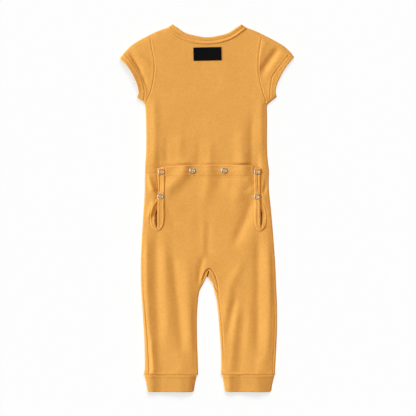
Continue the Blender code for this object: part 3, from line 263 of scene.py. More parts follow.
# Folds: soft ridges (height > 0) and troughs (height < 0) along a bent line
BODY_FOLDS = (
    # x, y of start, middle and end | half width | height
    (-94.5, 205.0, -93.0, 140.4, -94.5, 84.0, 6.6, 0.8),
    (81.2, 172.0, 80.3, 122.4, 81.2, 77.4, 6.6, -0.8),
    (98.3, 203.4, 99.0, 150.0, 99.5, 98.0, 7.2, 0.6),
    (-72.0, 130.0, -73.0, 102.0, -73.0, 75.0, 6.0, -0.6),
    (-48.5, 134.0, -49.0, 101.0, -49.5, 73.0, 10.0, 0.85),
    (-14.0, 120.0, -15.0, 95.0, -16.0, 74.0, 6.0, -0.4),
    (6.0, 122.0, 6.0, 95.0, 4.5, 72.0, 7.5, 0.6),
    (60.5, 142.0, 62.5, 104.0, 63.5, 73.0, 11.5, 1.15),
    (-32.0, 88.0, -43.0, 60.0, -84.0, 21.0, 11.0, 2.3),
    (-22.0, 86.0, -28.0, 50.0, -50.0, 20.0, 10.0, -0.35),
    (4.5, 86.0, 3.0, 54.0, -4.0, 8.0, 10.0, 1.25),
    (27.5, 84.0, 26.0, 56.0, 21.0, 26.0, 9.0, -0.8),
    (62.0, 90.0, 61.0, 46.0, 52.0, 2.0, 12.5, 1.8),
    (67.0, 90.0, 73.0, 56.0, 84.0, 24.0, 9.5, 1.2),
    (83.0, 60.0, 74.0, 52.0, 62.0, 42.0, 3.6, 0.3),
    (91.0, 48.0, 82.0, 41.0, 66.0, 30.0, 3.8, -0.5),
    (86.0, 30.0, 74.0, 25.0, 58.0, 20.0, 3.8, 0.3),
    (86.5, 26.0, 69.0, -22.0, 47.5, -68.4, 8.2, -1.35),
    (94.0, 8.0, 82.0, -40.0, 65.0, -88.0, 12.5, 0.6),
    (-72.0, 4.0, -65.0, -14.4, -58.0, -36.0, 7.2, -0.5),
    (-26.0, -6.0, -27.0, -30.0, -29.0, -56.0, 9.0, 0.35),
    (-7.0, -14.0, -6.5, -58.0, -8.0, -94.0, 5.5, 0.4),
    (3.5, -26.0, 2.5, -60.0, 3.0, -90.0, 6.0, -0.4),
    (-5.2, -86.0, -12.8, -109.8, -13.6, -140.0, 5.4, -1.15),
    (-109.0, -40.0, -109.5, -138.6, -104.5, -290.0, 6.3, 1.0),
    (-90.5, -36.0, -91.0, -147.6, -85.0, -262.0, 9.4, -1.55),
    (-77.2, -54.0, -73.6, -147.6, -68.2, -237.6, 9.0, 0.8),
    (-62.8, -70.0, -52.5, -165.6, -43.5, -268.0, 8.6, -1.35),
    (-35.8, -90.0, -32.2, -183.6, -27.5, -268.0, 9.0, 1.0),
    (-46.0, -250.0, -44.0, -280.0, -43.0, -312.0, 14.0, 0.9),
    (-104.0, -226.0, -99.5, -274.0, -97.5, -314.0, 10.5, 2.1),
    (66.8, -93.6, 41.6, -140.4, 32.6, -205.2, 8.1, 0.9),
    (52.4, -156.6, 43.4, -192.6, 36.2, -234.0, 6.3, -0.9),
    (57.6, -171.0, 50.4, -216.0, 41.0, -306.0, 6.8, 0.75),
    (67.7, -190.0, 62.0, -234.0, 57.0, -310.0, 7.8, -0.7),
    (75.8, -162.0, 74.9, -210.6, 74.0, -255.6, 7.2, 0.4),
    (92.0, -46.0, 92.0, -147.6, 91.0, -276.0, 7.6, -1.3),
    (109.1, -54.0, 112.7, -156.6, 107.5, -288.0, 8.1, 1.1),
    (99.0, -262.0, 98.0, -284.0, 96.0, -312.0, 10.0, 1.0),
)
SIDE_FOLDS = (
    # the same columns, for the strips outside the slits
    (-108.0, 60.0, -101.0, 43.2, -94.0, 27.0, 4.5, 1.1),
    (-93.0, 14.0, -98.0, 0.0, -104.0, -18.0, 4.0, 1.2),
    (100.5, 62.0, 99.0, 30.0, 101.0, -16.0, 8.0, 0.25),
    (110.8, 50.0, 106.5, 38.0, 101.2, 25.0, 3.6, -0.8),
)
SLEEVE_FOLDS = (
    # the same columns
    (-139.0, 281.0, -124.0, 255.0, -107.5, 212.0, 5.8, -1.5),
    (-134.0, 284.0, -115.5, 268.0, -99.0, 254.0, 5.8, 1.1),
    (-123.0, 246.0, -118.5, 224.0, -115.0, 198.0, 8.0, 1.1),
    (131.0, 289.0, 114.0, 265.5, 97.0, 240.0, 8.2, -1.75),
    (136.0, 280.0, 122.0, 258.5, 104.0, 228.0, 6.6, 0.7),
    (108.0, 306.0, 98.5, 287.0, 93.5, 266.4, 5.8, 0.9),
)
BAND_FOLDS = (
    # the same columns, for the bands of the sleeves
    (-153.0, 265.0, -134.0, 238.0, -125.0, 201.0, 7.0, 1.6),
)
FADE = 8.0                       # folds die out over this distance from a seam
SLIT_FADE = (1.0, 12.0)          # and between these distances from a slit
SLIT_END_FADE = 14.0             # but not below it
STRIP_FADE = 12.0                # height over which the strips' own folds start
SNAP_HOLD = 9.0                  # a snap flattens the cloth about this far round it
BODICE_FOLD_Y = (74.0, 83.0)     # no folds in the bodice under the flap
FOLD_ENDS = 0.22                 # share of a fold's length over which it rises
FOLD_LEAST = 0.25                # share of its height left at its ends

# Finer form of the outer faces
CELL = 2.1                       # side of a cell of cloth away from its seams
RIM_STEPS = (0.0, 0.25, 0.55, 0.95, 1.5, 2.2, 3.1, 4.2)    # rows this far from a seam
SEAM_ROUND = 1.5                 # radius of the rounding beside a seam
SEAM_DROP = 0.6                  # how deep it goes
SEAM_INSET_SHOWN = (2.9, 5.2)    # a seam close to the turned edge leaves no mark
RIDGE = (0.27, 2.5, 1.5)         # beside a seam: height, distance from it, half width
PUCKER = 4.5                     # length of the ridge's unevenness
PUCKER_HEIGHT = 0.16
PUCKER_REACH = 7.0
PUCKER_LAYER = 11.7              # of the noise that it is read from
WOBBLE = 0.6                     # share by which the ridge's height varies
WOBBLE_LAYER = 3.1
UPPER = (0.45 * TUBE, TUBE)      # heights between which cloth comes to be the upper layer
UPPER_FACE = (0.45 * TUBE, 0.8 * TUBE)    # and its face starts to show seams
DOME = 2.0                       # the cloth stands higher away from its turned edges
DOME_REACH = 20.0
DOME_POWER = 2.5
WAVES = (
    # length and height of the cloth's soft unevenness, layer of noise
    (52.0, 0.7, 0.0), (21.0, 0.22, 7.3), (8.0, 0.035, 14.6),
)
FOLD_GAIN = 1.6                  # the folds of the solids are shown this much stronger
SLEEVE_GAIN = 0.68               # and those of the sleeves and strips by this as well
STRIP_GAIN = 2.0
CURVE_PARTS = 24                 # straight parts between two points of a smooth curve
SHARP_ANGLE = 55.0               # degrees
ROLL_STEPS = 9                   # steps of a turnover from the underside
ROLL_END = 144.0                 # degrees; then the cloth runs on level
ROLL_TOP_SHARES = (0.2, 0.4, 0.58, 0.72, 0.83, 0.92, 1.0)    # of the way to the seam
TURN_STEPS = 12                  # of half a turn round an edge
TRIM_PARTS = 60                  # straight parts of an edge of a sleeve or its band
BOTTOM_PARTS = 120               # of the bodice's lower edge
EDGE_PARTS = 80                  # of a side's turned edge
BODICE_PARTS = 40                # of its seams on the bodice and on a leg
LEG_PARTS = 60
SIDE_CELL = 3.0                  # side of a cell where it isn't CELL
BAND_CELL = 1.2
CUFF_CELL = 1.6
NECK_CELL = 0.5
BINDING_CELL = 0.65
PATCH_CELL = 1.0
FAR = 100.0                      # beyond the garment, up or down
RAY_START = 50.0                 # rays that look for the cloth start this far up or down
TINY = 1e-9                      # keeps a division from failing on a length of nothing
MERGE = 0.02                     # points closer than this are one
SNAP_MERGE = 0.005
UNDERLAP_TURN = 7.0              # the underlap's corner is this wide
NECK_SEAM = (0.6, 0.56, 0.06)    # depth, and place and half width in shares of the band
NECK_TAPE = (0.5, 0.8, 0.13)     # the tape below the seam bulges
CUFF_FOLDS = (
    # the same columns as the body's folds
    (-101.0, -290.0, -100.0, -316.0, -98.5, -342.0, 6.5, 0.9),
    (-82.0, -290.0, -83.0, -316.0, -86.0, -342.0, 9.0, -0.7),
    (-46.0, -290.0, -46.0, -316.0, -46.0, -342.0, 16.0, 1.5),
    (-31.0, -290.0, -31.0, -316.0, -32.0, -342.0, 6.0, 0.6),
    (40.5, -290.0, 40.5, -316.0, 41.5, -342.0, 6.0, 0.9),
    (60.0, -290.0, 60.0, -316.0, 58.0, -342.0, 9.0, -0.7),
    (92.0, -290.0, 91.0, -316.0, 90.0, -342.0, 14.0, 1.6),
)
SEAM_BULGE = (0.5, 2.8, 1.8)     # leg and cuff bulge on both sides of their seam
BINDING_ROLL_AT = 2.0
BINDING_ROLL = (0.2, BINDING_ROLL_AT, 1.2)
BINDING_HOLLOW = 0.14
BINDING_LINES = 2.7              # pitch and height of the fine lines along a binding
BINDING_LINE = 0.07
BINDING_LINES_FADE = 1.5         # distance over which they start, inside the roll
BINDING_SEAM = 2.2               # a binding thins out over this distance from its seam
BINDING_THIN = 0.6
BINDING_LEAST = 0.25             # share of the gap below it that is left at its seam
SEWN_RIDGE = (0.4, 2.3, 1.3)     # the seat's cloth stands up beside a binding
SEWN_REACH = 7.0
SEWN_OUTSIDE = (10.5, 12.0)      # it starts this far from the binding's inner edge
GROOVE = (1.1, 0.6, 1.9)         # the bodice sinks just above the flap's top
GROOVE_END = 3.0                 # it starts over this distance from the flap's corners
BAND_EDGE = (0.35, 1.5, 0.9)     # roll along the flap's top
BAND_SLOPE = 1.05                # the band thins out towards its lower edge
BAND_SLOPE_REACH = 11.0
BAND_LEAST = 0.2                 # share of the gap below it that is left at that edge
SNAP_PROFILE = (
    # radius, height over the cloth
    (3.1, 0.15), (3.25, 0.0), (5.1, 0.0), (5.3, 0.15), (5.3, 0.4), (5.15, 0.68),
    (4.75, 0.92), (4.2, 1.0), (3.7, 0.95), (3.3, 0.72), (3.12, 0.42),
)
SNAP_TURNS = 48
SNAP_CLOTH_RADIUS = 2.95
SNAP_CLOTH_HEIGHT = 0.55
SNAP_CLOTH_PARTS = (20, 12)
STITCH_SIZE = (2.3, 0.45, 0.4)   # length, width and height of a stitch
STITCH_PARTS = (6, 4)
STITCH_PITCH = 2.8
ARCH_PARTS = 20                  # rows of the front inside the arch, closer at the edge
ARCH_POWER = 0.9
ARCH_SAG = 1.1                   # the front lies this much lower inside the arch
ARCH_SAG_REACH = (3.5, 9.0)      # reach from its edge to the seam over which it starts
CREASE = ((3.1, -114.8), (0.8, -123.6))    # where the two inside leg seams meet
CREASE_NAME = "crease"
CREASE_DEPTH = 2.3
CREASE_WIDTH = 1.25
CREASE_POWER = 4                 # its walls are steep
CREASE_START = 0.25              # share of the reach over which it opens from the edge
ARCH_FOLDS = (
    # the same columns as the body's folds
    (11.7, -138.2, 16.5, -145.0, 21.2, -151.2, 1.6, -0.7),
)
NECK_STITCH_SHARES = (0.66, 0.88)
NECK_LAP = 0.25                  # the bodice's edge reaches this far under the neckband
FLAP_STITCH_X = (-72.0, 78.0)
FLAP_STITCH_RISES = (0.8, -2.5)  # on both sides of the band's lower seam
STITCH_GROOVE = (0.5, FLAP_STITCH_RISES[0], 0.9)    # the upper row draws the band in
BINDING_SEWN = (0.09, 0.9)       # shares of the way across a binding
BINDING_COVER = -89.0            # its outer arm goes under the flap's arm from here on
PATCH_SEWN = 1.3                 # from the patch's edge
STITCH_LINE_PARTS = 200
APEX_POWER = 4                   # how late the seat's rows bend down to the crotch
WALL_LEAST = 0.15                # of a wall under the rounding of a seam

# Looks
WALE = 0.0011                    # metres between two wales of the knit
COURSE = 0.0009
KNIT_NOISE = {
    # stretch along x, y and z | detail | roughness | strength
    "drift": ((60.0, 60.0, 60.0), 2.0, 0.5, 0.0006),
    "fuzz": ((1500.0, 1100.0, 1500.0), 2.0, 0.7, 0.8),
    "tone": ((700.0, 300.0, 700.0), 4.0, 0.6, 1.9),
    "cloud": ((16.0, 12.0, 16.0), 2.0, 0.5, 0.35),
    "blot": ((110.0, 70.0, 110.0), 2.0, 0.5, 0.25),
}
LOOP_BEND = 2.2                  # how far the loops of a wale point down
LOOP_RELIEF = (0.22, 0.78)       # share of the height that the loops vary, and the rest
KNIT_PIT_SHADE = (0.62, 0.22)         # painted shade: the colour is darker below this height of the knit, by so much
KNIT_ROUGHNESS = (0.16, 0.8)     # how much it varies with the grain, and its least
KNIT_DEPTH = 0.3                 # millimetres
WEAVE_PITCH = 0.0006
WEAVE_NOISE = ((700.0, 700.0, 700.0), 2.0, 0.5, 0.5)    # the same columns as the knit's
WEAVE_ROUGHNESS = (0.2, 0.6)
BUMP_STRENGTH = 0.6
SLEEVE_GRAIN = 40.0              # degrees between the body's grain and a sleeve's
BAND_GRAIN = 90.0
YARN = (0.820, 0.388, 0.081, 1.0)
YARN_DARK = (0.730, 0.330, 0.062, 1.0)
YARN_LIGHT = (0.900, 0.445, 0.102, 1.0)
CREASE_PAINTED_SHADE = (0.230, 0.072, 0.012, 1.0)      # painted shade: hardly any light gets into the crease
RIB_SHADE = 0.91                 # of the yarn's colours in the ribbed cuffs
THREADS = {
    "thread": {"Dark": (0.740, 0.330, 0.065, 1.0), "Light": (0.900, 0.450, 0.110, 1.0)},
    # painted shade: darker thread colours stand in for the shadow along the flap's sewn groove
    "painted_shade_thread": {"Dark": (0.400, 0.170, 0.033, 1.0), "Light": (0.480, 0.215, 0.045, 1.0)},
}
THREAD_TWIST = 45.0              # degrees
THREAD_DEPTH = 0.1
THREAD_PITCH = 0.0005
PATCH_YARN = {"Dark": (0.002, 0.002, 0.002, 1.0), "Light": (0.005, 0.005, 0.006, 1.0)}
PATCH_DEPTH = 0.2
GLOSS = (0.15, 0.25)             # specular and sheen
PATCH_GLOSS = (0.05, 0.0)
SHEEN_ROUGHNESS = 0.5
SHEEN_TINT = (1.0, 0.85, 0.6, 1.0)
METAL = {"Metallic": 1.0, "Base Color": (0.540, 0.515, 0.465, 1.0)}
METAL_GRAIN = (900.0, 3.0)       # fineness and detail
METAL_ROUGHNESS = (0.2, 0.34)
PAPER = {
    "Base Color": (0.413, 0.590, 0.960, 1.0),    # neutral under the warm fill
    "Specular IOR Level": 0.0,
    "Emission Color": (1.0, 1.0, 1.0, 1.0),
    "Emission Strength": 0.655,
}
PAPER_GRAIN = (300.0, 2.0)
PAPER_ROUGHNESS = (0.1, 0.85)
FLOOR_SIZE = 60.0                # metres
FLOOR_DROP = 0.05                # below the garment, in millimetres
WORLD_LIGHT = 0.37
WORLD_TINT = (1.0, 0.700, 0.430, 1.0)
LAMP_DISTANCE = 3.0
LAMPS = {
    # where the light comes from and its height over the floor, spread, in degrees |
    # power | tint | whether it spares the floor or lights nothing else
    "key": (168.0, 28.0, 20.0, 3.0, (1.0, 1.240, 1.460), "EXCLUDE"),
    "top": (80.0, 38.0, 30.0, 0.95, (1.0, 1.0, 1.0), "EXCLUDE"),
    "shade": (80.0, 38.0, 30.0, 2.21, (1.0, 0.700, 0.430), "INCLUDE"),
}
SENSOR = 36.0
VIEW_END = 20.0                  # metres
FIELD = 0.7488                   # metres across the picture
CAMERA_HEIGHT = 3.0
CAMERA_X = 0.00198
CAMERA_Y = 0.0


def ramp(low, high, value):
    """Rise smoothly from 0 at low to 1 at high."""
    share = min(1.0, max(0.0, (value - low) / (high - low)))
    return share * share * (3.0 - 2.0 * share)


def mix(start, end, share):
    """Point between two points of any size."""
    return tuple(a + (b - a) * share for a, b in zip(start, end))


def evenly(start, end, parts):
    """Numbers from start to end in equal parts."""
    return [start + (end - start) * i / parts for i in range(parts + 1)]


def swell(shape, place):
    """Height at a place of a soft ridge, given by its height, middle and half width."""
    height, middle, width = shape
    return height * math.exp(-((place - middle) / width) ** 2)


def uneven(x, y, length, layer):
    """Soft noise of a length, from one of its layers."""
    return noise.noise(Vector((x / length, y / length, layer)))


def shifted(point, direction, distance):
    """Plan point moved along a plan direction."""
    return (point[0] + direction[0] * distance, point[1] + direction[1] * distance)


def direction_of(start, end):
    """Unit plan vector from start to end."""
    vector = Vector((end[0] - start[0], end[1] - start[1])).normalized()
    return (vector.x, vector.y)


def table_value(rows, column, key):
    """Read a table whose first column falls, on a smooth curve through its rows."""
    ordered = rows if rows[0][0] > rows[-1][0] else rows[::-1]
    if key >= ordered[0][0]:
        return ordered[0][column]
    if key <= ordered[-1][0]:
        return ordered[-1][column]
    low = next(i for i, row in enumerate(ordered) if row[0] <= key)
    before = ordered[max(low - 2, 0)]
    start = ordered[low - 1]
    end = ordered[low]
    after = ordered[min(low + 1, len(ordered) - 1)]
    span = end[0] - start[0]
    share = (key - start[0]) / span
    slope_in = (end[column] - before[column]) / (end[0] - before[0]) * span
    slope_out = (after[column] - start[column]) / (after[0] - start[0]) * span
    square = share * share
    cube = square * share
    return ((2 * cube - 3 * square + 1) * start[column]
            + (cube - 2 * square + share) * slope_in
            + (3 * square - 2 * cube) * end[column]
            + (cube - square) * slope_out)


def square_to(direction, sign=1.0):
    """Plan direction turned a quarter to the right, or to the left where sign is -1."""
    return (direction[1] * sign, -direction[0] * sign)


def beside(points, distance):
    """Move a plan curve to its left by distance, square to itself."""
    result = []
    for index, point in enumerate(points):
        start = points[max(index - 1, 0)]
        end = points[min(index + 1, len(points) - 1)]
        result.append(shifted(point, square_to(direction_of(start, end)), -distance))
    return result


def line_distance(x, y, ax, ay, bx, by):
    """Distance from a plan point to a segment, and the share along it."""
    dx = bx - ax
    dy = by - ay
    share = ((x - ax) * dx + (y - ay) * dy) / (dx * dx + dy * dy)
    held = min(1.0, max(0.0, share))
    return math.hypot(x - ax - dx * held, y - ay - dy * held), held


def relief(folds, x, y):
    """Sum of the folds at a plan point."""
    height = 0.0
    for ax, ay, bx, by, cx, cy, width, size in folds:
        first, share_a = line_distance(x, y, ax, ay, bx, by)
        second, share_b = line_distance(x, y, bx, by, cx, cy)
        along = share_a / 2 if first < second else 0.5 + share_b / 2
        fade = ramp(0.0, FOLD_ENDS, along) * ramp(0.0, FOLD_ENDS, 1.0 - along)
        share = FOLD_LEAST + (1.0 - FOLD_LEAST) * fade
        height += FOLD_GAIN * size * share * math.exp(-(min(first, second) / width) ** 2)
    return height


def side_edge(y, side):
    """X of the body's outline or, above the underarm, of the armhole."""
    if y <= SIDES[0][0]:
        return table_value(SIDES, 1 if side == "left" else 2, y)
    rows = tuple((py, px) for px, py in ARMHOLES[side])
    return table_value(rows, 1, y)


def seam_inset(y, side):
    """How far inside the outline the side seam runs."""
    return table_value(SIDES, 3 if side == "left" else 4, y)


def seam_x(y, side, gap):
    """X of the side seam, moved by gap into the back piece."""
    return side_edge(y, side) + INWARD[side] * (seam_inset(y, side) + gap)


def inner_seam_x(y, side):
    """X of the inside leg seam at a height below the crotch."""
    columns = (3, 4) if side == "left" else (7, 8)
    rows = tuple((row[columns[1]], row[columns[0]]) for row in LEG_ROWS)
    return table_value(rows, 1, y)


def seam_fade(x, y):
    """0 on the seams and 1 away from them."""
    fade = 1.0
    for side in BOTH:
        inset = seam_inset(y, side) if y < SIDES[0][0] else 0.0
        inside = INWARD[side] * (x - side_edge(y, side)) - inset
        fade *= ramp(0.0, FADE, inside)
    if y < CROTCH_Y:
        left_leg = inner_seam_x(y, "left") - x
        right_leg = x - inner_seam_x(y, "right")
        fade *= ramp(0.0, FADE, max(left_leg, right_leg))
    return fade * ramp(CUFF_SEAM_Y, CUFF_SEAM_Y + FADE, y)


def snap_fade(x, y):
    """0 under each ring snap, which holds the cloth flat."""
    fade = 1.0
    for snap_x, snap_y, _ in SNAPS:
        away = math.hypot(x - snap_x, y - snap_y)
        fade *= 1.0 - math.exp(-(away / SNAP_HOLD) ** 2)
    return fade


def right_of_slit(x):
    """Mirror an X of the left slit into the right one."""
    return FLAP_RIGHT_X - (x - FLAP_LEFT[-1][1]) * SLIT_RIGHT_SCALE


def slit_edge(y, side):
    """X of the slit's outer edge, under the flap."""
    x = table_value(SLIT_SIDE_EDGE, 1, y)
    return x if side == "left" else right_of_slit(x)


def flap_edge(y, side):
    """X of the flap's side edge."""
    return table_value(FLAP_LEFT, 1, y) if side == "left" else FLAP_RIGHT_X


def dip(x, y):
    """How far the bodice and the strips beside the slits sink to pass under the flap."""
    side = "left" if x < 0.0 else "right"
    reach = abs(slit_edge(y, side) - seam_x(y, side, 0.0))
    inside = abs(x - seam_x(y, side, 0.0))
    depth = STRIP_DROP * ramp(*FULL_DROP, inside / reach)
    depth -= (STRIP_DROP - UNDERLAP_DROP) * ramp(reach, reach + UNDERLAP_REACH, inside)
    return depth * (1.0 - ramp(*DROP_TOP_Y, y)) * ramp(SLIT_END_Y, DROP_END_Y, y)


def bodice_height(x, y):
    """Top of the back bodice."""
    folds = relief(BODY_FOLDS, x, y) * ramp(*BODICE_FOLD_Y, y)
    return TUBE + folds * seam_fade(x, y) - dip(x, y)


def seat_folds(x, y):
    """Folds of the seat and legs, fading at seams and snaps."""
    return relief(BODY_FOLDS, x, y) * seam_fade(x, y) * snap_fade(x, y)


def strip_height(x, y):
    """Top of the seat panel's strips outside the slits."""
    above = ramp(SLIT_END_Y, SLIT_END_Y + STRIP_FADE, y)
    folds = relief(SIDE_FOLDS, x, y) * seam_fade(x, y) * above
    return TUBE + STRIP_GAIN * folds + seat_folds(x, y) * (1.0 - above) - dip(x, y)


def seat_height(x, y):
    """Top of the flap, the seat and the back legs."""
    beside_slit = min(x - flap_edge(y, "left"), flap_edge(y, "right") - x)
    below_slit = 1.0 - ramp(SLIT_END_Y, SLIT_END_Y + SLIT_END_FADE, y)
    held = max(ramp(*SLIT_FADE, beside_slit), below_slit)
    return TUBE + FLAP_RISE * ramp(*RISE_Y, y) + seat_folds(x, y) * held


def neck_side(side):
    """Tip, corner and inward direction of the band's fold at one shoulder."""
    sign = INWARD[side]
    tip = (-NECK_TIP[0] * sign, NECK_TIP[1])
    corner = (-NECK_CORNER[0] * sign, NECK_CORNER[1])
    return tip, corner, square_to(direction_of(corner, tip), sign)


def shoulder_rows(side):
    """Edge points and inward directions from the armhole to the neckband."""
    start = ARMHOLES[side][0]
    _, corner, neck_in = neck_side(side)
    along = direction_of(corner, start)
    corner = shifted(corner, along, SEAM_GAP)
    square = square_to(along, -INWARD[side])
    middle = shifted(mix(start, corner, 0.5), square, -SHOULDER_BOW)
    armhole_in = direction_of(start, ARMHOLES[side][1])
    return [(start, armhole_in), (middle, square), (corner, neck_in)]


def underarm(side):
    """Edge point under the arm and the direction that halves its corner."""
    across, up = UNDERARM_IN
    return ARMHOLES[side][-1], direction_of((0.0, 0.0), (across * INWARD[side], up))


def band_seam_ends(side):
    """Directions in which the seam of the sleeve's band leaves its two edges."""
    table = SLEEVES[side]
    seam = table["seam"]
    along = direction_of(table["under"][0], table["band_under"][-1])
    square = square_to(along, INWARD[side])
    leaving = direction_of(seam[-1], seam[-2])
    return direction_of(seam[0], seam[1]), direction_of((0.0, 0.0), mix(square, leaving, 0.5))


# ---------------------------------------------------------------- curves and grids

def smooth(points):
    """Close points along a smooth curve through points of any size."""
    dense = []
    last = len(points) - 1
    for index in range(last):
        near = [points[min(max(index + step, 0), last)] for step in (-1, 0, 1, 2)]
        for part in range(CURVE_PARTS):
            t = part / CURVE_PARTS
            dense.append(tuple(
                0.5 * (2 * b + (c - a) * t + (2 * a - 5 * b + 4 * c - d) * t * t
                       + (3 * b - a - 3 * c + d) * t ** 3)
                for a, b, c, d in zip(*near)))
    dense.append(tuple(points[-1]))
    return dense


def read_line(points, shares):
    """Points at shares of the length of a plan line."""
    lengths = [0.0]
    for start, end in zip(points, points[1:]):
        lengths.append(lengths[-1] + math.dist(start[:2], end[:2]))
    result = []
    cursor = 0
    for share in shares:
        target = lengths[-1] * share
        while cursor < len(points) - 2 and lengths[cursor + 1] < target:
            cursor += 1
        piece = max(lengths[cursor + 1] - lengths[cursor], TINY)
        part = (target - lengths[cursor]) / piece
        result.append(mix(points[cursor], points[cursor + 1], part))
    return result


def line_length(points):
    """Length of a plan line."""
    return sum(math.dist(start[:2], end[:2]) for start, end in zip(points, points[1:]))


def shares_of(length, first=True, last=True, cell=CELL, count=None):
    """Shares of a length for rows of cells, closer together beside a seam."""
    start = list(RIM_STEPS) if first else [0.0]
    end = [length - step for step in RIM_STEPS[::-1]] if last else [length]
    inner = end[0] - start[-1]
    count = count or max(1, round(inner / cell))
    middle = evenly(start[-1], end[0], count)[1:-1]
    return [distance / length for distance in start + middle + end]


def coons(bottom, top, left, right, across, along):
    """Plan rows between four curves that share their corners, at shares both ways."""
    low = read_line(bottom, across)
    high = read_line(top, across)
    start = left if len(left) == len(along) else read_line(left, along)
    end = right if len(right) == len(along) else read_line(right, along)
    grid = []
    for j, t in enumerate(along):
        row = []
        for i, s in enumerate(across):
            row.append(tuple(
                (1 - t) * low[i][k] + t * high[i][k] + (1 - s) * start[j][k] + s * end[j][k]
                - (1 - s) * (1 - t) * low[0][k] - s * (1 - t) * low[-1][k]
                - (1 - s) * t * high[0][k] - s * t * high[-1][k]
                for k in range(2)))
        grid.append(row)
    return grid


def lay_grid(body, points):
    """Grid of cloth on rows of points, in millimetres."""
    columns = len(points[0]) - 1
    rows = len(points) - 1
    made = bmesh.ops.create_grid(body, x_segments=columns, y_segments=rows, size=1.0)
    for vert in made["verts"]:
        i = round((vert.co.x + 1.0) / 2.0 * columns)
        j = round((vert.co.y + 1.0) / 2.0 * rows)
        vert.co = [value * MM for value in points[j][i]]


def laid(*grids):
    """Sheet of cloth made of grids."""
    body = bmesh.new()
    for points in grids:
        lay_grid(body, points)
    return body


def plan_walls(lines):
    """Search tree of plan lines stood up as thin walls, to measure distances to them."""
    points = []
    faces = []
    for line in lines:
        for start, end in zip(line, line[1:]):
            base = len(points)
            points += [(*start[:2], -FAR), (*end[:2], -FAR), (*end[:2], FAR),
                       (*start[:2], FAR)]
            faces.append((base, base + 1, base + 2, base + 3))
    return BVHTree.FromPolygons(points, faces)


def open_edges(body):
    """The upper open edges of a sheet, but for those under the flap, as plan lines."""
    lines = []
    for edge in body.edges:
        start, end = (vert.co / MM for vert in edge.verts)
        if len(edge.link_faces) == 1 and start.z + end.z > TUBE and not under_flap(start):
            lines.append((start, end))
    return lines


def under_flap(point):
    """Whether a point is on the outer edge of a slit."""
    side = "left" if point.x < 0.0 else "right"
    if not SLIT_END_Y < point.y < WAIST_Y - SEAM_GAP:
        return False
    return abs(point.x - slit_edge(point.y, side)) < SEAM_GAP


def curve_y(points, x):
    """Y of a plan curve at x, where it runs left to right."""
    for start, end in zip(points, points[1:]):
        if x <= end[0]:
            share = max(0.0, (x - start[0]) / (end[0] - start[0]))
            return start[1] + (end[1] - start[1]) * share
    return points[-1][1]


def plan_distance(tree, x, y):
    """Distance from a plan point to the nearest line of a tree."""
    return tree.find_nearest(Vector((x, y, 0.0)))[3]


# ------------------------------------------------------------------ seams' curves

def neck_curve(half, left_end, right_end, left_in, right_in):
    """Whole neck curve, left to right, from a table of its right half."""
    left = shifted(left_end, left_in, NECK_RADIUS)
    right = shifted(right_end, right_in, NECK_RADIUS)
    return smooth([left] + [(-x, y) for x, y in half[:0:-1]] + list(half) + [right])


def neck_curves():
    """Edge and outer curves of the band on the back and on the front."""
    left_tip, left_corner, left_in = neck_side("left")
    right_tip, right_corner, right_in = neck_side("right")
    tips = (left_tip, right_tip, left_in, right_in)
    corners = (left_corner, right_corner, left_in, right_in)
    return {
        "edge": neck_curve(NECK_EDGE, *tips),
        "outer": neck_curve(NECK_OUTER, *corners),
        "front_edge": neck_curve(FRONT_NECK_EDGE, *tips),
        "front_outer": neck_curve(FRONT_NECK_OUTER, *corners),
    }


def armhole_curve(side, radius, gap):
    """Armhole between its two turned edges, moved by gap into the body."""
    shoulder, armhole_in = shoulder_rows(side)[0]
    under, under_in = underarm(side)
    points = [shifted(shoulder, armhole_in, radius), *ARMHOLES[side][1:-1],
              shifted(under, under_in, radius)]
    return beside(smooth(points), INWARD[side] * gap)


def leg_rows(parts):
    """Rows of the inside legs, with some more between each two of the table."""
    rows = [list(row) for row in LEG_ROWS]
    for column in (0, 2, 4, 6, 8):
        rows[-1][column] += HALF_GAP
    return smooth(rows)[::CURVE_PARTS // parts]


def turned_edges():
    """Plan lines along which the cloth of both layers turns over."""
    lines = []
    inner = leg_rows(parts=4)
    for side, column in (("left", 1), ("right", 5)):
        heights = evenly(SIDES[0][0], CUFF_SEAM_Y, EDGE_PARTS)
        lines.append([(side_edge(y, side), y) for y in heights])
        lines.append([(row[column], row[column + 1]) for row in inner])
        lines.append(smooth([edge for edge, _ in shoulder_rows(side)]))
        for name in ("top", "band_top", "under", "band_under"):
            lines.append(smooth(SLEEVES[side][name]))
    for column in (1, 2, 3, 4):
        lines.append([(row[column], row[0]) for row in CUFF_ROWS])
    return lines


# ------------------------------------------------------------- outer face of cloth

def dome(x, y):
    """How much higher the upper layer stands away from its turned edges."""
    share = min(1.0, plan_distance(TURNS, x, y) / DOME_REACH)
    return DOME * (1.0 - (1.0 - share) ** DOME_POWER)


def waves(x, y):
    """Soft unevenness of cloth that nobody has pressed."""
    return sum(size * uneven(x, y, length, layer) for length, size, layer in WAVES)


def domed(point):
    """Point of a turned piece, lifted by the dome on its upper layer."""
    x, y, z = point
    share = ramp(*UPPER, z)
    if share == 0.0:
        return point
    return (x, y, z + share * (dome(x, y) + waves(x, y)))


def seam_face(distance, x, y):
    """Height of the outer face beside a seam: rounded off, then an uneven ridge."""
    height = 0.0
    if distance < SEAM_ROUND:
        part = 1.0 - distance / SEAM_ROUND
        height -= SEAM_DROP * (1.0 - math.sqrt(1.0 - part * part))
    wobble = WOBBLE * uneven(x, y, PUCKER, WOBBLE_LAYER)
    height += (1.0 + wobble) * swell(RIDGE, distance)
    pucker = PUCKER_HEIGHT * uneven(x, y, PUCKER, PUCKER_LAYER)
    return height + pucker * (1.0 - ramp(0.0, PUCKER_REACH, distance))


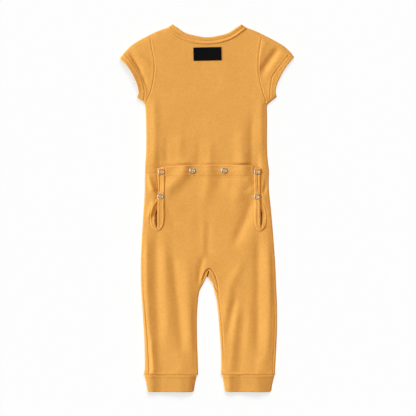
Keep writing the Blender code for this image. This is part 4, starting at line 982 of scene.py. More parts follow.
def finish_face(outer, wall, seams, extra=None):
    """Shape the outer face's points beside the seams, on the upper layer."""
    for vert in outer:
        x, y, z = vert.co / MM
        share = ramp(*UPPER_FACE, z)
        if share > 0.0:
            seam, _, _, distance = seams.find_nearest(Vector((x, y, 0.0)))
            shown = ramp(*SEAM_INSET_SHOWN, plan_distance(TURNS, seam.x, seam.y))
            height = shown * seam_face(distance, x, y)
            if extra:
                height += extra(x, y)
            vert.co.z += share * max(height, WALL_LEAST - wall) * MM


def add_object(name, data):
    """New object in the scene."""
    item = bpy.data.objects.new(name, data)
    bpy.context.collection.objects.link(item)
    return item


def link_piece(name, body, material):
    """Finished piece from a bmesh, smooth but for its sharp edges."""
    mesh = bpy.data.meshes.new(name)
    body.to_mesh(mesh)
    body.free()
    mesh.materials.append(material)
    mesh.shade_smooth()
    mesh.set_sharp_from_angle(angle=math.radians(SHARP_ANGLE))
    piece = add_object(name, mesh)
    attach(piece, "root")
    return piece


def join_rows(body):
    """Merge the shared points of the grids that make one piece."""
    bmesh.ops.remove_doubles(body, verts=body.verts[:], dist=MERGE * MM)


def layer_piece(name, body, wall, material, extra=None):
    """Cloth lying flat, its wall measured straight down from the laid face."""
    body.normal_update()
    down = [face for face in body.faces if face.normal.z < 0.0]
    bmesh.ops.reverse_faces(body, faces=down)
    seams = plan_walls(open_edges(body))
    lower = bmesh.ops.extrude_face_region(body, geom=body.faces[:], use_keep_orig=True)
    moved = [item for item in lower["geom"] if isinstance(item, bmesh.types.BMVert)]
    below = set(moved)
    outer = [vert for vert in body.verts if vert not in below]
    bmesh.ops.translate(body, verts=moved, vec=(0.0, 0.0, -wall * MM))
    finish_face(outer, wall, seams, extra)
    bmesh.ops.recalc_face_normals(body, faces=body.faces[:])
    return link_piece(name, body, material)


def turned_piece(name, body, wall, material, extra=None):
    """Cloth that turns over, its wall built inwards from the laid face."""
    body.normal_update()
    top = max(body.faces, key=lambda face: face.calc_center_median().z)
    if top.normal.z < 0.0:
        bmesh.ops.reverse_faces(body, faces=body.faces[:])
    seams = plan_walls(open_edges(body))
    mesh = bpy.data.meshes.new("shell")
    body.to_mesh(mesh)
    count = len(mesh.vertices)
    holder = add_object("shell", mesh)
    solid = holder.modifiers.new("wall", "SOLIDIFY")
    solid.thickness = wall * MM
    solid.offset = -1.0
    solid.use_even_offset = True
    solid.use_quality_normals = True
    shown = holder.evaluated_get(bpy.context.evaluated_depsgraph_get())
    body.clear()
    body.from_mesh(shown.to_mesh())
    shown.to_mesh_clear()
    bpy.data.objects.remove(holder)
    bpy.data.meshes.remove(mesh)
    body.verts.ensure_lookup_table()
    finish_face(body.verts[:count], wall, seams, extra)
    return link_piece(name, body, material)


def face_tree(body):
    """Search tree of a sheet's faces, in millimetres, for what lies on it."""
    faces = [[vert.index for vert in face.verts] for face in body.faces]
    return BVHTree.FromPolygons([vert.co / MM for vert in body.verts], faces)


def piece_tree(piece):
    """Search tree of a finished piece, in millimetres."""
    faces = [list(face.vertices) for face in piece.data.polygons]
    return BVHTree.FromPolygons([vert.co / MM for vert in piece.data.vertices], faces)


def lying_height(tree, x, y, hidden=False):
    """Height of a laid face; a hidden stretch is found from below."""
    start = Vector((x, y, -RAY_START if hidden else RAY_START))
    way = Vector((0.0, 0.0, 1.0 if hidden else -1.0))
    hit = tree.ray_cast(start, way)[0]
    if hit is None:
        hit = tree.find_nearest(Vector((x, y, TUBE)))[0]
    return hit.z


def declare(piece, node):
    """Hide the imported part that a sheet of cloth stands for; the sheet itself is not used."""
    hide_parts(node)


# ----------------------------------------------------------------- the front piece

def roll_section(edge, inward, reach, shares=ROLL_TOP_SHARES):
    """Section from the flat underside round the edge and in by reach on the top."""
    points = []
    for step in range(ROLL_STEPS + 1):
        angle = math.radians(ROLL_END) * step / ROLL_STEPS
        points.append((EDGE_RADIUS - EDGE_RADIUS * math.sin(angle),
                       EDGE_RADIUS - EDGE_RADIUS * math.cos(angle)))
    start = points[-1][0]
    for share in shares:
        distance = start + (reach - start) * share
        held = EDGE_RADIUS - min(distance, EDGE_RADIUS)
        points.append((distance, EDGE_RADIUS + math.sqrt(EDGE_RADIUS ** 2 - held ** 2)))
    return [(*shifted(edge, inward, distance), height) for distance, height in points]


def side_sections(side):
    """Turned sections down one side, from the underarm to the cuff."""
    sign = INWARD[side]
    under, under_in = underarm(side)
    start = shifted(under, square_to(under_in, sign), HALF_GAP)
    sections = [roll_section(start, under_in, EDGE_RADIUS - HALF_GAP)]
    top = SIDES[1][0]
    bottom = CUFF_SEAM_Y + HALF_GAP
    for share in shares_of(top - bottom, first=False, cell=SIDE_CELL):
        y = top + (bottom - top) * share
        reach = seam_inset(y, side) - HALF_GAP
        sections.append(roll_section((side_edge(y, side), y), (sign, 0.0), reach))
    return sections


def crease(x, y):
    """Depth of the steep crease at the crotch."""
    away, _ = line_distance(x, y, *CREASE[0], *CREASE[1])
    return CREASE_DEPTH * math.exp(-(away / CREASE_WIDTH) ** CREASE_POWER)


def inner_sections():
    """Turned sections along the gap between the legs, left cuff to right cuff."""
    rows = leg_rows(parts=6)
    arch_shares = [share ** ARCH_POWER for share in evenly(0.0, 1.0, ARCH_PARTS)[1:]]
    sections = []
    for side_rows, edge, seam in ((rows[:0:-1], 1, 3), (rows, 5, 7)):
        for row in side_rows:
            edge_point = (row[edge], row[edge + 1])
            seam_point = (row[seam], row[seam + 1])
            inward = direction_of(edge_point, seam_point)
            reach = math.dist(edge_point, seam_point) - HALF_GAP
            section = roll_section(edge_point, inward, reach, arch_shares)
            sag = ARCH_SAG * ramp(*ARCH_SAG_REACH, reach)
            for index in range(ROLL_STEPS + 1, len(section)):
                x, y, z = section[index]
                share = (index - ROLL_STEPS) / (len(section) - 1 - ROLL_STEPS)
                z += relief(ARCH_FOLDS, x, y) - sag * math.sin(math.pi / 2 * share)
                z -= crease(x, y) * min(1.0, share / CREASE_START)
                section[index] = (x, y, z)
            sections.append(section)
    return sections


def shoulder_sections(side):
    """Turned sections along one shoulder, armhole to neckband."""
    rows = [(*edge, *inward) for edge, inward in shoulder_rows(side)]
    _, corner, _ = neck_side(side)
    rows[0] = (*shifted(rows[0][:2], direction_of(rows[0][:2], corner), HALF_GAP),
               *rows[0][2:])
    sections = []
    for row in smooth(rows)[::2]:
        sections.append(roll_section(row[:2], row[2:], EDGE_RADIUS - HALF_GAP))
    return sections


def front_outline(left, right, inner, shoulders):
    """Plan loop of the flat underside."""
    loop = armhole_curve("left", EDGE_RADIUS, HALF_GAP)[-2:0:-1]
    loop += [section[0][:2] for section in shoulders["left"]]
    loop += beside(neck_curves()["front_outer"], -SEAM_GAP)[1:-1]
    loop += [section[0][:2] for section in shoulders["right"][::-1]]
    loop += armhole_curve("right", EDGE_RADIUS, HALF_GAP)[1:-1]
    loop += [section[0][:2] for section in right + inner[::-1] + left[::-1]]
    return loop


def make_front(material):
    """Front of the bodice and both legs, with its turned edges."""
    left, right = (side_sections(side) for side in BOTH)
    inner = inner_sections()
    shoulders = {side: shoulder_sections(side) for side in BOTH}
    body = laid(*([[domed(point) for point in section] for section in sections]
                  for sections in (left, right, inner, *shoulders.values())))
    corners = [body.verts.new((x * MM, y * MM, 0.0))
               for x, y in front_outline(left, right, inner, shoulders)]
    edges = [body.edges.new((start, end))
             for start, end in zip(corners, corners[1:] + corners[:1])]
    bmesh.ops.triangle_fill(body, use_beauty=True, edges=edges, normal=(0.0, 0.0, -1.0))
    join_rows(body)
    bmesh.ops.recalc_face_normals(body, faces=body.faces[:])
    piece = turned_piece("front_cloth", body, WALL, material)
    # Crease depth of each point, which the front's material reads to paint shade into the crease
    mask = piece.data.attributes.new(CREASE_NAME, "FLOAT", "POINT")
    for vert in piece.data.vertices:
        mask.data[vert.index].value = crease(vert.co.x / MM, vert.co.y / MM) / CREASE_DEPTH
    return piece


# --------------------------------------------------------------- the back's panels

def raised(grid, height):
    """Plan rows lifted to a height function of the upper layer."""
    return [[(x, y, height(x, y) + dome(x, y) + waves(x, y)) for x, y in row]
            for row in grid]


def bodice_bottom():
    """Lower edge of the bodice: the waist seam at the sides, the underlap between."""
    waist = WAIST_Y + HALF_GAP
    left, right = (seam_x(waist, side, HALF_GAP) for side in BOTH)
    inner_left = slit_edge(WAIST_Y, "left") + SEAM_GAP
    inner_right = slit_edge(WAIST_Y, "right") - SEAM_GAP
    line = []
    for x in evenly(left, right, BOTTOM_PARTS):
        inside = min(x - inner_left, inner_right - x)
        line.append((x, waist - (waist - UNDERLAP_Y) * ramp(0.0, UNDERLAP_TURN, inside)))
    return line


def make_back_bodice(material):
    """Back of the bodice, whose lower edge runs on under the flap."""
    inset = EDGE_RADIUS + HALF_GAP
    sides = {}
    shoulders = {}
    for side in BOTH:
        heights = evenly(WAIST_Y + HALF_GAP, SIDES[1][0], BODICE_PARTS)
        armhole = armhole_curve(side, inset, HALF_GAP)[::-1]
        sides[side] = [(seam_x(y, side, HALF_GAP), y) for y in heights] + armhole
        shoulders[side] = smooth([armhole[-1]] + turned_in(shoulder_rows(side), inset)[1:])
    neck = beside(neck_curves()["outer"], NECK_LAP)[1:-1]
    across = shares_of(line_length(bodice_bottom()))
    along = shares_of(line_length(sides["left"]), first=False)
    grid = coons(bodice_bottom(), shoulders["left"] + neck + shoulders["right"][::-1],
                 sides["left"], sides["right"], across, along)
    body = laid(raised(grid, bodice_height))
    tree = face_tree(body)
    top_line = smooth(FLAP_TOP)

    def groove(x, y):
        above = y - curve_y(top_line, x)
        inside = min(x - FLAP_TOP[0][0], FLAP_TOP[-1][0] - x)
        return -ramp(0.0, GROOVE_END, inside) * swell(GROOVE, above)

    return layer_piece("back_bodice_cloth", body, BACK_WALL, material, groove), tree


def seat_grid(across, leg_across):
    """Plan rows of the seat between the slits' ends and the crotch."""
    middle_row = leg_rows(parts=1)[0]
    apex = (middle_row[3], middle_row[4] + HALF_GAP)
    left, right = ((seam_x(CROTCH_Y, side, HALF_GAP), CROTCH_Y) for side in BOTH)
    last = [mix(left, apex, share) for share in leg_across[:-1]]
    last += [mix(apex, right, 1.0 - share) for share in leg_across[::-1]]
    rows = []
    for share in shares_of(SLIT_END_Y - CROTCH_Y, first=False):
        y = SLIT_END_Y + (CROTCH_Y - SLIT_END_Y) * share
        blend = ramp(0.0, 1.0, share)
        start, end = (seam_x(y, side, HALF_GAP) for side in BOTH)
        row = []
        for x, final in zip(across, last):
            wide = (final[0] - left[0]) / (right[0] - left[0])
            upper = (x - across[0]) / (across[-1] - across[0])
            part = upper + (wide - upper) * blend
            sink = (final[1] - CROTCH_Y) * share ** APEX_POWER
            row.append((start + (end - start) * part, y + sink))
        rows.append(row)
    return rows


def leg_grid(side, leg_across):
    """Plan rows of one back leg, from the crotch to the cuff."""
    column = 3 if side == "left" else 7
    table = leg_rows(parts=CURVE_PARTS)
    inner = [(row[column], row[column + 1]) for row in table]
    inner = beside(inner, -INWARD[side] * HALF_GAP)
    inner[0] = (table[0][3], table[0][4] + HALF_GAP)
    inner[-1] = (inner[-1][0], table[-1][0])
    heights = evenly(CROTCH_Y, table[-1][0], LEG_PARTS)
    outer = [(seam_x(y, side, HALF_GAP), y) for y in heights]
    along = shares_of(line_length(inner))
    return [[mix(start, end, share) for share in leg_across]
            for start, end in zip(read_line(outer, along), read_line(inner, along))]


def flap_grid(across):
    """Plan rows of the flap from its top edge to the slits' ends."""
    top_line = smooth(FLAP_TOP)
    rows = []
    for share in shares_of(FLAP_TOP[2][1] - SLIT_END_Y, last=False):
        row = []
        for part in across:
            x_top = FLAP_TOP[0][0] + (FLAP_TOP[-1][0] - FLAP_TOP[0][0]) * part
            y_top = curve_y(top_line, x_top)
            y = y_top + (SLIT_END_Y - y_top) * share
            left = flap_edge(y, "left")
            right = flap_edge(y, "right")
            row.append((left + (right - left) * part, y))
        rows.append(row)
    return rows


def strip_grid(side, across):
    """Plan rows of the strip outside a slit."""
    waist = WAIST_Y - HALF_GAP
    rows = []
    for share in shares_of(waist - SLIT_END_Y, last=False):
        y = waist + (SLIT_END_Y - waist) * share
        start = (seam_x(y, side, HALF_GAP), y)
        rows.append([mix(start, (slit_edge(y, side), y), part) for part in across])
    return rows


def beside_bindings():
    """Ridge that the sewing pushes up in the seat round both bindings."""
    outer, inner = (plan_walls([binding_edge(side, share) for side in BOTH])
                    for share in (0.0, 1.0))

    def ridge(x, y):
        away = plan_distance(outer, x, y)
        if away > SEWN_REACH:
            return 0.0
        return ramp(*SEWN_OUTSIDE, plan_distance(inner, x, y)) * swell(SEWN_RIDGE, away)

    return ridge


def make_seat_panel(material):
    """Flap, seat and back legs in one piece, with a slit at each side."""
    strip_width = FLAP_LEFT[-1][1] - seam_x(SLIT_END_Y, "left", HALF_GAP)
    strip_across = shares_of(strip_width)
    flap_width = FLAP_RIGHT_X - FLAP_LEFT[-1][1]
    flap_across = shares_of(flap_width, count=2 * round(flap_width / CELL / 2))
    strips = {side: [x for x, _ in strip_grid(side, strip_across)[-1]] for side in BOTH}
    flap_row = [FLAP_LEFT[-1][1] + flap_width * part for part in flap_across]
    across = strips["left"][:-1] + flap_row + strips["right"][-2::-1]
    half = (len(across) - 1) // 2
    leg_width = (seam_x(CROTCH_Y, "right", 0.0) - seam_x(CROTCH_Y, "left", 0.0)) / 2
    leg_across = shares_of(leg_width, count=half - 2 * (len(RIM_STEPS) - 1))
    body = laid(
        raised(flap_grid(flap_across), seat_height),
        *(raised(strip_grid(side, strip_across), strip_height) for side in BOTH),
        raised(seat_grid(across, leg_across), seat_height),
        *(raised(leg_grid(side, leg_across), seat_height) for side in BOTH))
    join_rows(body)
    tree = face_tree(body)
    sewn = beside_bindings()
    piece = layer_piece("seat_panel_cloth", body, BACK_WALL, material,
                        lambda x, y: sewn(x, y) + seam_bulge(y))
    return piece, tree


# ---------------------------------------------------------- sleeves, bands and cuffs

def turned_in(edges, radius):
    """Points where the cloth lies level again, inside each turned edge."""
    return [shifted(edge, inward, radius) for edge, inward in edges]


def half_turn(edge, inward, radius):
    """Points round an edge between the top and the bottom layer, both left out."""
    points = []
    for step in range(1, TURN_STEPS):
        angle = math.pi * step / TURN_STEPS
        place = shifted(edge, inward, radius - radius * math.sin(angle))
        points.append((*place, radius + radius * math.cos(angle)))
    return points


def trimmed(line, start, end):
    """Line shortened at both ends."""
    length = line_length(line)
    return read_line(line, evenly(start / length, 1.0 - end / length, TRIM_PARTS))


def edge_rows(points, end_gap, along, start_in, end_in):
    """Edge points and inward directions along a smooth edge, at shares of its length."""
    line = read_line(trimmed(smooth(points), HALF_GAP, end_gap), along)
    return [(point, mix(start_in, end_in, share)) for point, share in zip(line, along)]


def sleeve_sides(side, along):
    """Edge points and inward directions of the sleeve's top and under edges."""
    _, shoulder_in = shoulder_rows(side)[0]
    _, under_in = underarm(side)
    seam_in, seam_out = band_seam_ends(side)
    return (edge_rows(SLEEVES[side]["top"], HALF_GAP, along, shoulder_in, seam_in),
            edge_rows(SLEEVES[side]["under"], HALF_GAP, along, under_in, seam_out))


def sleeve_height(x, y, share_across, share_along):
    """Top of a sleeve, flat at its seams and edges."""
    across, along = SLEEVE_FADE
    fade = ramp(0.0, across, share_across) * ramp(0.0, across, 1.0 - share_across)
    fade *= ramp(0.0, along, share_along) * ramp(0.0, along, 1.0 - share_along)
    return TUBE + SLEEVE_GAIN * relief(SLEEVE_FOLDS, x, y) * fade


def make_sleeve(side, material):
    """Short sleeve in one piece, with its seam under the arm."""
    seam = SLEEVES[side]["seam"]
    along = shares_of(line_length(SLEEVES[side]["top"]))
    across = shares_of(line_length(seam), first=False, last=False)
    top_edges, low_edges = sleeve_sides(side, along)
    top = turned_in(top_edges, EDGE_RADIUS)
    low = turned_in(low_edges, EDGE_RADIUS)
    hem = beside(smooth((top[-1], *seam[1:-1], low[-1])), INWARD[side] * HALF_GAP)
    hem = [top[-1], *hem[1:-1], low[-1]]
    armhole = armhole_curve(side, EDGE_RADIUS, -HALF_GAP)
    armhole = [top[0], *armhole[1:-1], low[0]]
    grid = coons(armhole, hem, top, low, across, along)
    shell = []
    for j, row in enumerate(grid):
        inward = direction_of(row[-1], row[-2])
        line = [(*shifted(row[-1], inward, SLEEVE_SEAM_INSET), 0.0)]
        line += roll_section(*low_edges[j], EDGE_RADIUS)[:ROLL_STEPS + 1]
        line += [(x, y, sleeve_height(x, y, across[i], along[j]))
                 for i, (x, y) in enumerate(row)][::-1]
        line += half_turn(*top_edges[j], EDGE_RADIUS)
        line += [(*point, 0.0) for point in row[:-1]
                 if math.dist(point, row[-1]) > SLEEVE_SEAM_INSET + 2 * CELL]
        shell.append(line)
    count = min(len(line) for line in shell)
    for j, row in enumerate(grid):
        inward = direction_of(row[-1], row[-2])
        shell[j] = shell[j][:count]
        shell[j].append((*shifted(row[-1], inward, SLEEVE_SEAM_INSET + SEAM_GAP), 0.0))
    body = laid([[domed(point) for point in line] for line in shell])
    return turned_piece(f"sleeve_{side}_cloth", body, WALL, material)


def ring_rows(seam, hem, top_edges, low_edges, radius, along, across):
    """Sections of a flattened ring from its seam to its hem."""
    tops = turned_in(top_edges, radius)
    lows = turned_in(low_edges, radius)
    grid = coons(seam, hem, tops, lows, across, along)
    loops = []
    for row, top_edge, low_edge in zip(grid, top_edges, low_edges):
        loop = [(*point, 2 * radius) for point in row]
        loop += half_turn(*low_edge, radius)
        loop += [(*point, 0.0) for point in row[::-1]]
        loop += half_turn(*top_edge, radius)[::-1]
        loops.append([domed(point) for point in loop + loop[:1]])
    return loops


def make_sleeve_band(side, material):
    """Doubled ring at the sleeve's hem."""
    table = SLEEVES[side]
    hem = table["hem"]
    along = shares_of(line_length(table["band_top"]), cell=BAND_CELL)
    top_start, low_start = band_seam_ends(side)
    top_edges = edge_rows(table["band_top"], 0.0, along, top_start,
                          direction_of(hem[0], hem[1]))
    low_edges = edge_rows(table["band_under"], 0.0, along, low_start,
                          direction_of(hem[-1], hem[-2]))
    tops = turned_in(top_edges, BAND_RADIUS)
    lows = turned_in(low_edges, BAND_RADIUS)
    seam = beside(smooth((tops[0], *table["seam"][1:-1], lows[0])), -INWARD[side] * HALF_GAP)
    seam = [tops[0], *seam[1:-1], lows[0]]
    hem = smooth((tops[-1], *hem[1:-1], lows[-1]))
    across = shares_of(line_length(seam), first=False, last=False)
    body = laid(ring_rows(seam, hem, top_edges, low_edges, BAND_RADIUS, along, across))
    join_rows(body)
    return turned_piece(f"sleeve_band_{side}_cloth", body, DOUBLE_WALL, material,
                        lambda x, y: relief(BAND_FOLDS, x, y))


def seam_bulge(y):
    """Height of the cloth that bulges on both sides of a cuff's seam."""
    return swell(SEAM_BULGE, abs(y - CUFF_SEAM_Y))


def make_cuff(side, material):
    """Doubled ring round the ankle."""
    columns = (1, 2) if side == "left" else (3, 4)
    table = [list(row) for row in CUFF_ROWS]
    table[0][0] -= HALF_GAP
    dense = smooth(table)
    lines = [[(row[column], row[0]) for row in dense] for column in columns]
    along = shares_of(line_length(lines[0]), cell=CUFF_CELL)
    lefts, rights = ([(point, (way, 0.0)) for point in read_line(line, along)]
                     for line, way in zip(lines, (1.0, -1.0)))
    tops = turned_in(lefts, CUFF_RADIUS)
    lows = turned_in(rights, CUFF_RADIUS)
    across = shares_of(math.dist(tops[0], lows[0]), first=False, last=False)
    body = laid(ring_rows([tops[0], lows[0]], [tops[-1], lows[-1]], lefts, rights,
                          CUFF_RADIUS, along, across))
    join_rows(body)
    return turned_piece(f"cuff_{side}_cloth", body, DOUBLE_WALL, material,
                        lambda x, y: relief(CUFF_FOLDS, x, y) + seam_bulge(y))


def neck_drop(share):
    """Fall of the neckband's face at a share of its width: band, seam and tape."""
    drop = table_value([(-across, fall) for across, fall in NECK_PROFILE], 1, -share)
    return drop + swell(NECK_SEAM, share) - swell(NECK_TAPE, share)


def make_neckband(material):
    """Closed ring of doubled cloth round the neck."""
    curves = neck_curves()
    left_tip, left_corner, left_in = neck_side("left")
    right_tip, right_corner, right_in = neck_side("right")
    back = shares_of(line_length(curves["outer"]), first=False, last=False)
    front = shares_of(line_length(curves["front_outer"]), first=False, last=False)
    lines = {name: read_line(line, front if "front" in name else back)
             for name, line in curves.items()}
    loops = []
    for across in shares_of(math.dist(NECK_EDGE[0], NECK_OUTER[0]), cell=NECK_CELL):
        top = 2 * NECK_RADIUS - neck_drop(across)
        loop = [(*mix(a, b, across), top) for a, b in zip(lines["edge"], lines["outer"])]
        loop += half_turn(mix(right_tip, right_corner, across), right_in, NECK_RADIUS)
        loop += [(*mix(a, b, across), 0.0)
                 for a, b in zip(lines["front_edge"], lines["front_outer"])][::-1]
        loop += half_turn(mix(left_tip, left_corner, across), left_in, NECK_RADIUS)[::-1]
        loops.append([domed(point) for point in loop + loop[:1]])
    body = laid(loops)
    join_rows(body)
    return turned_piece("neckband_cloth", body, NECK_WALL, material)


# ----------------------------------------------------- what lies on the seat and back

def binding_line():
    """Rows of a binding's table with more between them, and whether they lie hidden."""
    flap_rows = sum(row[4] for row in PLACKET_ROWS) - 0.5
    dense = smooth([row[:4] for row in PLACKET_ROWS])[::BINDING_STEP]
    return [(row, index * BINDING_STEP / CURVE_PARTS > flap_rows)
            for index, row in enumerate(dense)]


def binding_point(side, row, share):
    """Plan point at a share of the way across a binding."""
    x, y = mix(row[:2], row[2:], share)
    return (right_of_slit(x) if side == "right" else x, y)


def binding_edge(side, share):
    """Plan line along a binding at a share of the way across it."""
    return [binding_point(side, row, share) for row, _ in binding_line()]


def laying_gap(least, reach, distance):
    """Gap below a piece that lies on another, least at its seam."""
    return LAY_GAP * (least + (1.0 - least) * ramp(0.0, reach, distance))


def patch_point(across, up):
    """Plan point of the patch, measured from its middle."""
    turn = math.radians(PATCH_TURN)
    return (PATCH_CENTRE[0] + across * math.cos(turn) - up * math.sin(turn),
            PATCH_CENTRE[1] + across * math.sin(turn) + up * math.cos(turn))


def binding_puff(share, width):
    """Height of a binding's face over the cloth: a roll by each edge, thin at its seam."""
    outer = share * width
    near = min(outer, width - outer)
    height = swell(BINDING_ROLL, near)
    height -= BINDING_HOLLOW * ramp(BINDING_ROLL_AT, width / 2, near)
    lines = math.cos(math.tau * (outer - width / 2) / BINDING_LINES)
    inside = ramp(BINDING_ROLL_AT, BINDING_ROLL_AT + BINDING_LINES_FADE, near)
    height += BINDING_LINE * lines * inside
    return height + laying_gap(BINDING_LEAST, BINDING_SEAM, outer) + PLACKET_WALL


def make_placket(side, seat, material):
    """Binding sewn round a slit: down the flap's edge and up the outer side."""
    width = math.dist(PLACKET_ROWS[2][:2], PLACKET_ROWS[2][2:4])
    across = shares_of(width, cell=BINDING_CELL)
    rows = []
    for row, hidden in binding_line():
        line = []
        for share in across:
            under = binding_point(side, row, min(share, BINDING_HOLD))
            height = lying_height(seat, *under, hidden) + binding_puff(share, width)
            line.append((*binding_point(side, row, share), height))
        rows.append(line)
    edge = plan_walls([[line[0][:2] for line in rows]])

    def thin(x, y):
        return -BINDING_THIN * (1.0 - ramp(0.0, BINDING_SEAM, plan_distance(edge, x, y)))

    return layer_piece(f"placket_{side}_cloth", laid(rows), PLACKET_WALL, material, thin)


def make_flap_band(seat, material):
    """Band along the flap's top between the two bindings."""
    left = PLACKET_ROWS[0][0] + SEAM_GAP
    right = right_of_slit(PLACKET_ROWS[0][0]) - SEAM_GAP
    top_line = smooth(FLAP_TOP)
    rows = []
    for share in shares_of(FLAP_TOP[2][1] - FLAP_BAND_Y, cell=BAND_CELL):
        row = []
        for part in shares_of(right - left):
            x = left + (right - left) * part
            y = FLAP_BAND_Y + (curve_y(top_line, x) - FLAP_BAND_Y) * share
            lift = laying_gap(BAND_LEAST, BAND_SLOPE_REACH, y - FLAP_BAND_Y)
            row.append((x, y, lying_height(seat, x, y) + lift + BAND_WALL))
        rows.append(row)

    def thin(x, y):
        above = y - FLAP_BAND_Y
        height = swell(BAND_EDGE, curve_y(top_line, x) - y) - swell(STITCH_GROOVE, above)
        return height - BAND_SLOPE * (1.0 - ramp(0.0, BAND_SLOPE_REACH, above))

    return layer_piece("flap_band_cloth", laid(rows), BAND_WALL, material, thin)


def make_patch(bodice, material):
    """Woven patch under the back of the neck, bare, with a turned border."""
    width, depth = PATCH_SIZE
    rows = []
    for part_y in shares_of(depth, cell=PATCH_CELL):
        row = []
        for part_x in shares_of(width, cell=PATCH_CELL):
            x, y = patch_point(width * (part_x - 0.5), depth * (part_y - 0.5))
            row.append((x, y, lying_height(bodice, x, y) + LAY_GAP + PATCH_WALL))
        rows.append(row)
    return layer_piece("label_patch_cloth", laid(rows), PATCH_WALL, material)


def make_snap(number, x, y, base, material):
    """Open ring snap with a rolled inner lip, turned from its profile."""
    body = bmesh.new()
    verts = [body.verts.new((radius * MM, 0.0, height * MM)) for radius, height in SNAP_PROFILE]
    edges = [body.edges.new(pair) for pair in zip(verts, verts[1:] + verts[:1])]
    bmesh.ops.spin(body, geom=verts + edges, cent=(0.0, 0.0, 0.0), axis=(0.0, 0.0, 1.0),
                   dvec=(0.0, 0.0, 0.0), angle=math.tau, steps=SNAP_TURNS, use_merge=True)
    bmesh.ops.remove_doubles(body, verts=body.verts[:], dist=SNAP_MERGE * MM)
    bmesh.ops.recalc_face_normals(body, faces=body.faces[:])
    bmesh.ops.translate(body, verts=body.verts[:], vec=(x * MM, y * MM, base * MM))
    piece = link_piece(f"snap_{number}_ring", body, material)
    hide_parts(f"snap_{number}")


def make_snap_cloth(number, x, y, base, material):
    """Cloth that swells up inside a ring snap."""
    body = bmesh.new()
    turns, rings = SNAP_CLOTH_PARTS
    bmesh.ops.create_uvsphere(body, u_segments=turns, v_segments=rings, radius=1.0)
    size = Matrix.Diagonal((SNAP_CLOTH_RADIUS * MM, SNAP_CLOTH_RADIUS * MM,
                            SNAP_CLOTH_HEIGHT * MM, 1.0))
    bmesh.ops.transform(body, matrix=Matrix.Translation((x * MM, y * MM, base * MM)) @ size,
                        verts=body.verts[:])
    link_piece(f"snap_{number}_cloth", body, material)


# -------------------------------------------------------------------------- sewing

def sew(name, lines, trees, material):
    """Rows of thread stitches along plan lines, lying on the pieces below."""
    length, width, height = STITCH_SIZE
    turns, rings = STITCH_PARTS
    body = bmesh.new()
    for line in lines:
        count = max(2, round(line_length(line) / STITCH_PITCH))
        places = read_line(line, evenly(0.0, 1.0, count))
        for start, end in zip(places, places[1:]):
            ends = [Vector((x, y, max(top_height(tree, x, y) for tree in trees)))
                    for x, y in (start, end)]
            along = (ends[1] - ends[0]).normalized()
            side = along.cross(Vector((0.0, 0.0, 1.0))).normalized()
            up = side.cross(along)
            turn = Matrix((along * length / 2, side * width / 2, up * height / 2)).transposed()
            place = Matrix.Translation((ends[0] + ends[1]) / 2) @ turn.to_4x4()
            bmesh.ops.create_uvsphere(body, u_segments=turns, v_segments=rings, radius=1.0,
                                      matrix=Matrix.Scale(MM, 4) @ place)
    link_piece(name, body, material)


def top_height(tree, x, y):
    """Height of the highest face of a tree at a plan point."""
    hit = tree.ray_cast(Vector((x, y, RAY_START)), Vector((0.0, 0.0, -1.0)))[0]
    return hit.z if hit else 0.0


# ------------------------------------------------------------------------ materials

def new_group(name, inputs):
    """Shader node group with inputs and a cloth's colour, roughness and height."""
    tree = bpy.data.node_groups.new(name, "ShaderNodeTree")
    for label, kind, value in inputs:
        socket = tree.interface.new_socket(label, in_out="INPUT", socket_type=kind)
        if value is not None:
            socket.default_value = value
    for label, kind in (("Color", "NodeSocketColor"), ("Roughness", "NodeSocketFloat"),
                        ("Height", "NodeSocketFloat")):
        tree.interface.new_socket(label, in_out="OUTPUT", socket_type=kind)
    return tree, tree.nodes.new("NodeGroupInput"), tree.nodes.new("NodeGroupOutput")


def feed(tree, node, values):
    """Set a node's inputs to constants, or link them to other nodes' outputs."""
    for label, value in values.items():
        if isinstance(value, bpy.types.NodeSocket):
            tree.links.new(value, node.inputs[label])
        else:
            node.inputs[label].default_value = value


def add_node(tree, kind, values, **settings):
    """Shader node with its settings and its inputs."""
    node = tree.nodes.new(f"ShaderNode{kind}")
    for name, value in settings.items():
        setattr(node, name, value)
    feed(tree, node, values)
    return node


def blend(tree, share, low, high):
    """Colour between two by a share from 0 to 1."""
    node = add_node(tree, "Mix", {0: share, 6: low, 7: high}, data_type="RGBA")
    return node.outputs[2]


def calc(tree, operation, *values, clamp=False):
    """Math node on sockets and numbers."""
    node = add_node(tree, "Math", dict(enumerate(values)), operation=operation,
                    use_clamp=clamp)
    return node.outputs[0]


def stretched_noise(tree, vector, scale, detail, roughness=0.5):
    """Noise whose grain has its own size along each axis."""
    mapping = add_node(tree, "Mapping", {"Vector": vector, "Scale": scale})
    grain = add_node(tree, "TexNoise", {
        "Vector": mapping.outputs["Vector"], "Scale": 1.0, "Detail": detail,
        "Roughness": roughness})
    return grain.outputs["Fac"]


def centred(tree, value, gain):
    """Noise value round zero, times gain."""
    return calc(tree, "MULTIPLY", calc(tree, "SUBTRACT", value, 0.5), gain)


def three_colours(tree, tone, low, middle, high):
    """Colour between three by a tone from 0 to 1."""
    first = blend(tree, calc(tree, "MULTIPLY", tone, 2.0, clamp=True), low, middle)
    half = calc(tree, "SUBTRACT", tone, 0.5)
    return blend(tree, calc(tree, "MULTIPLY", half, 2.0, clamp=True), first, high)


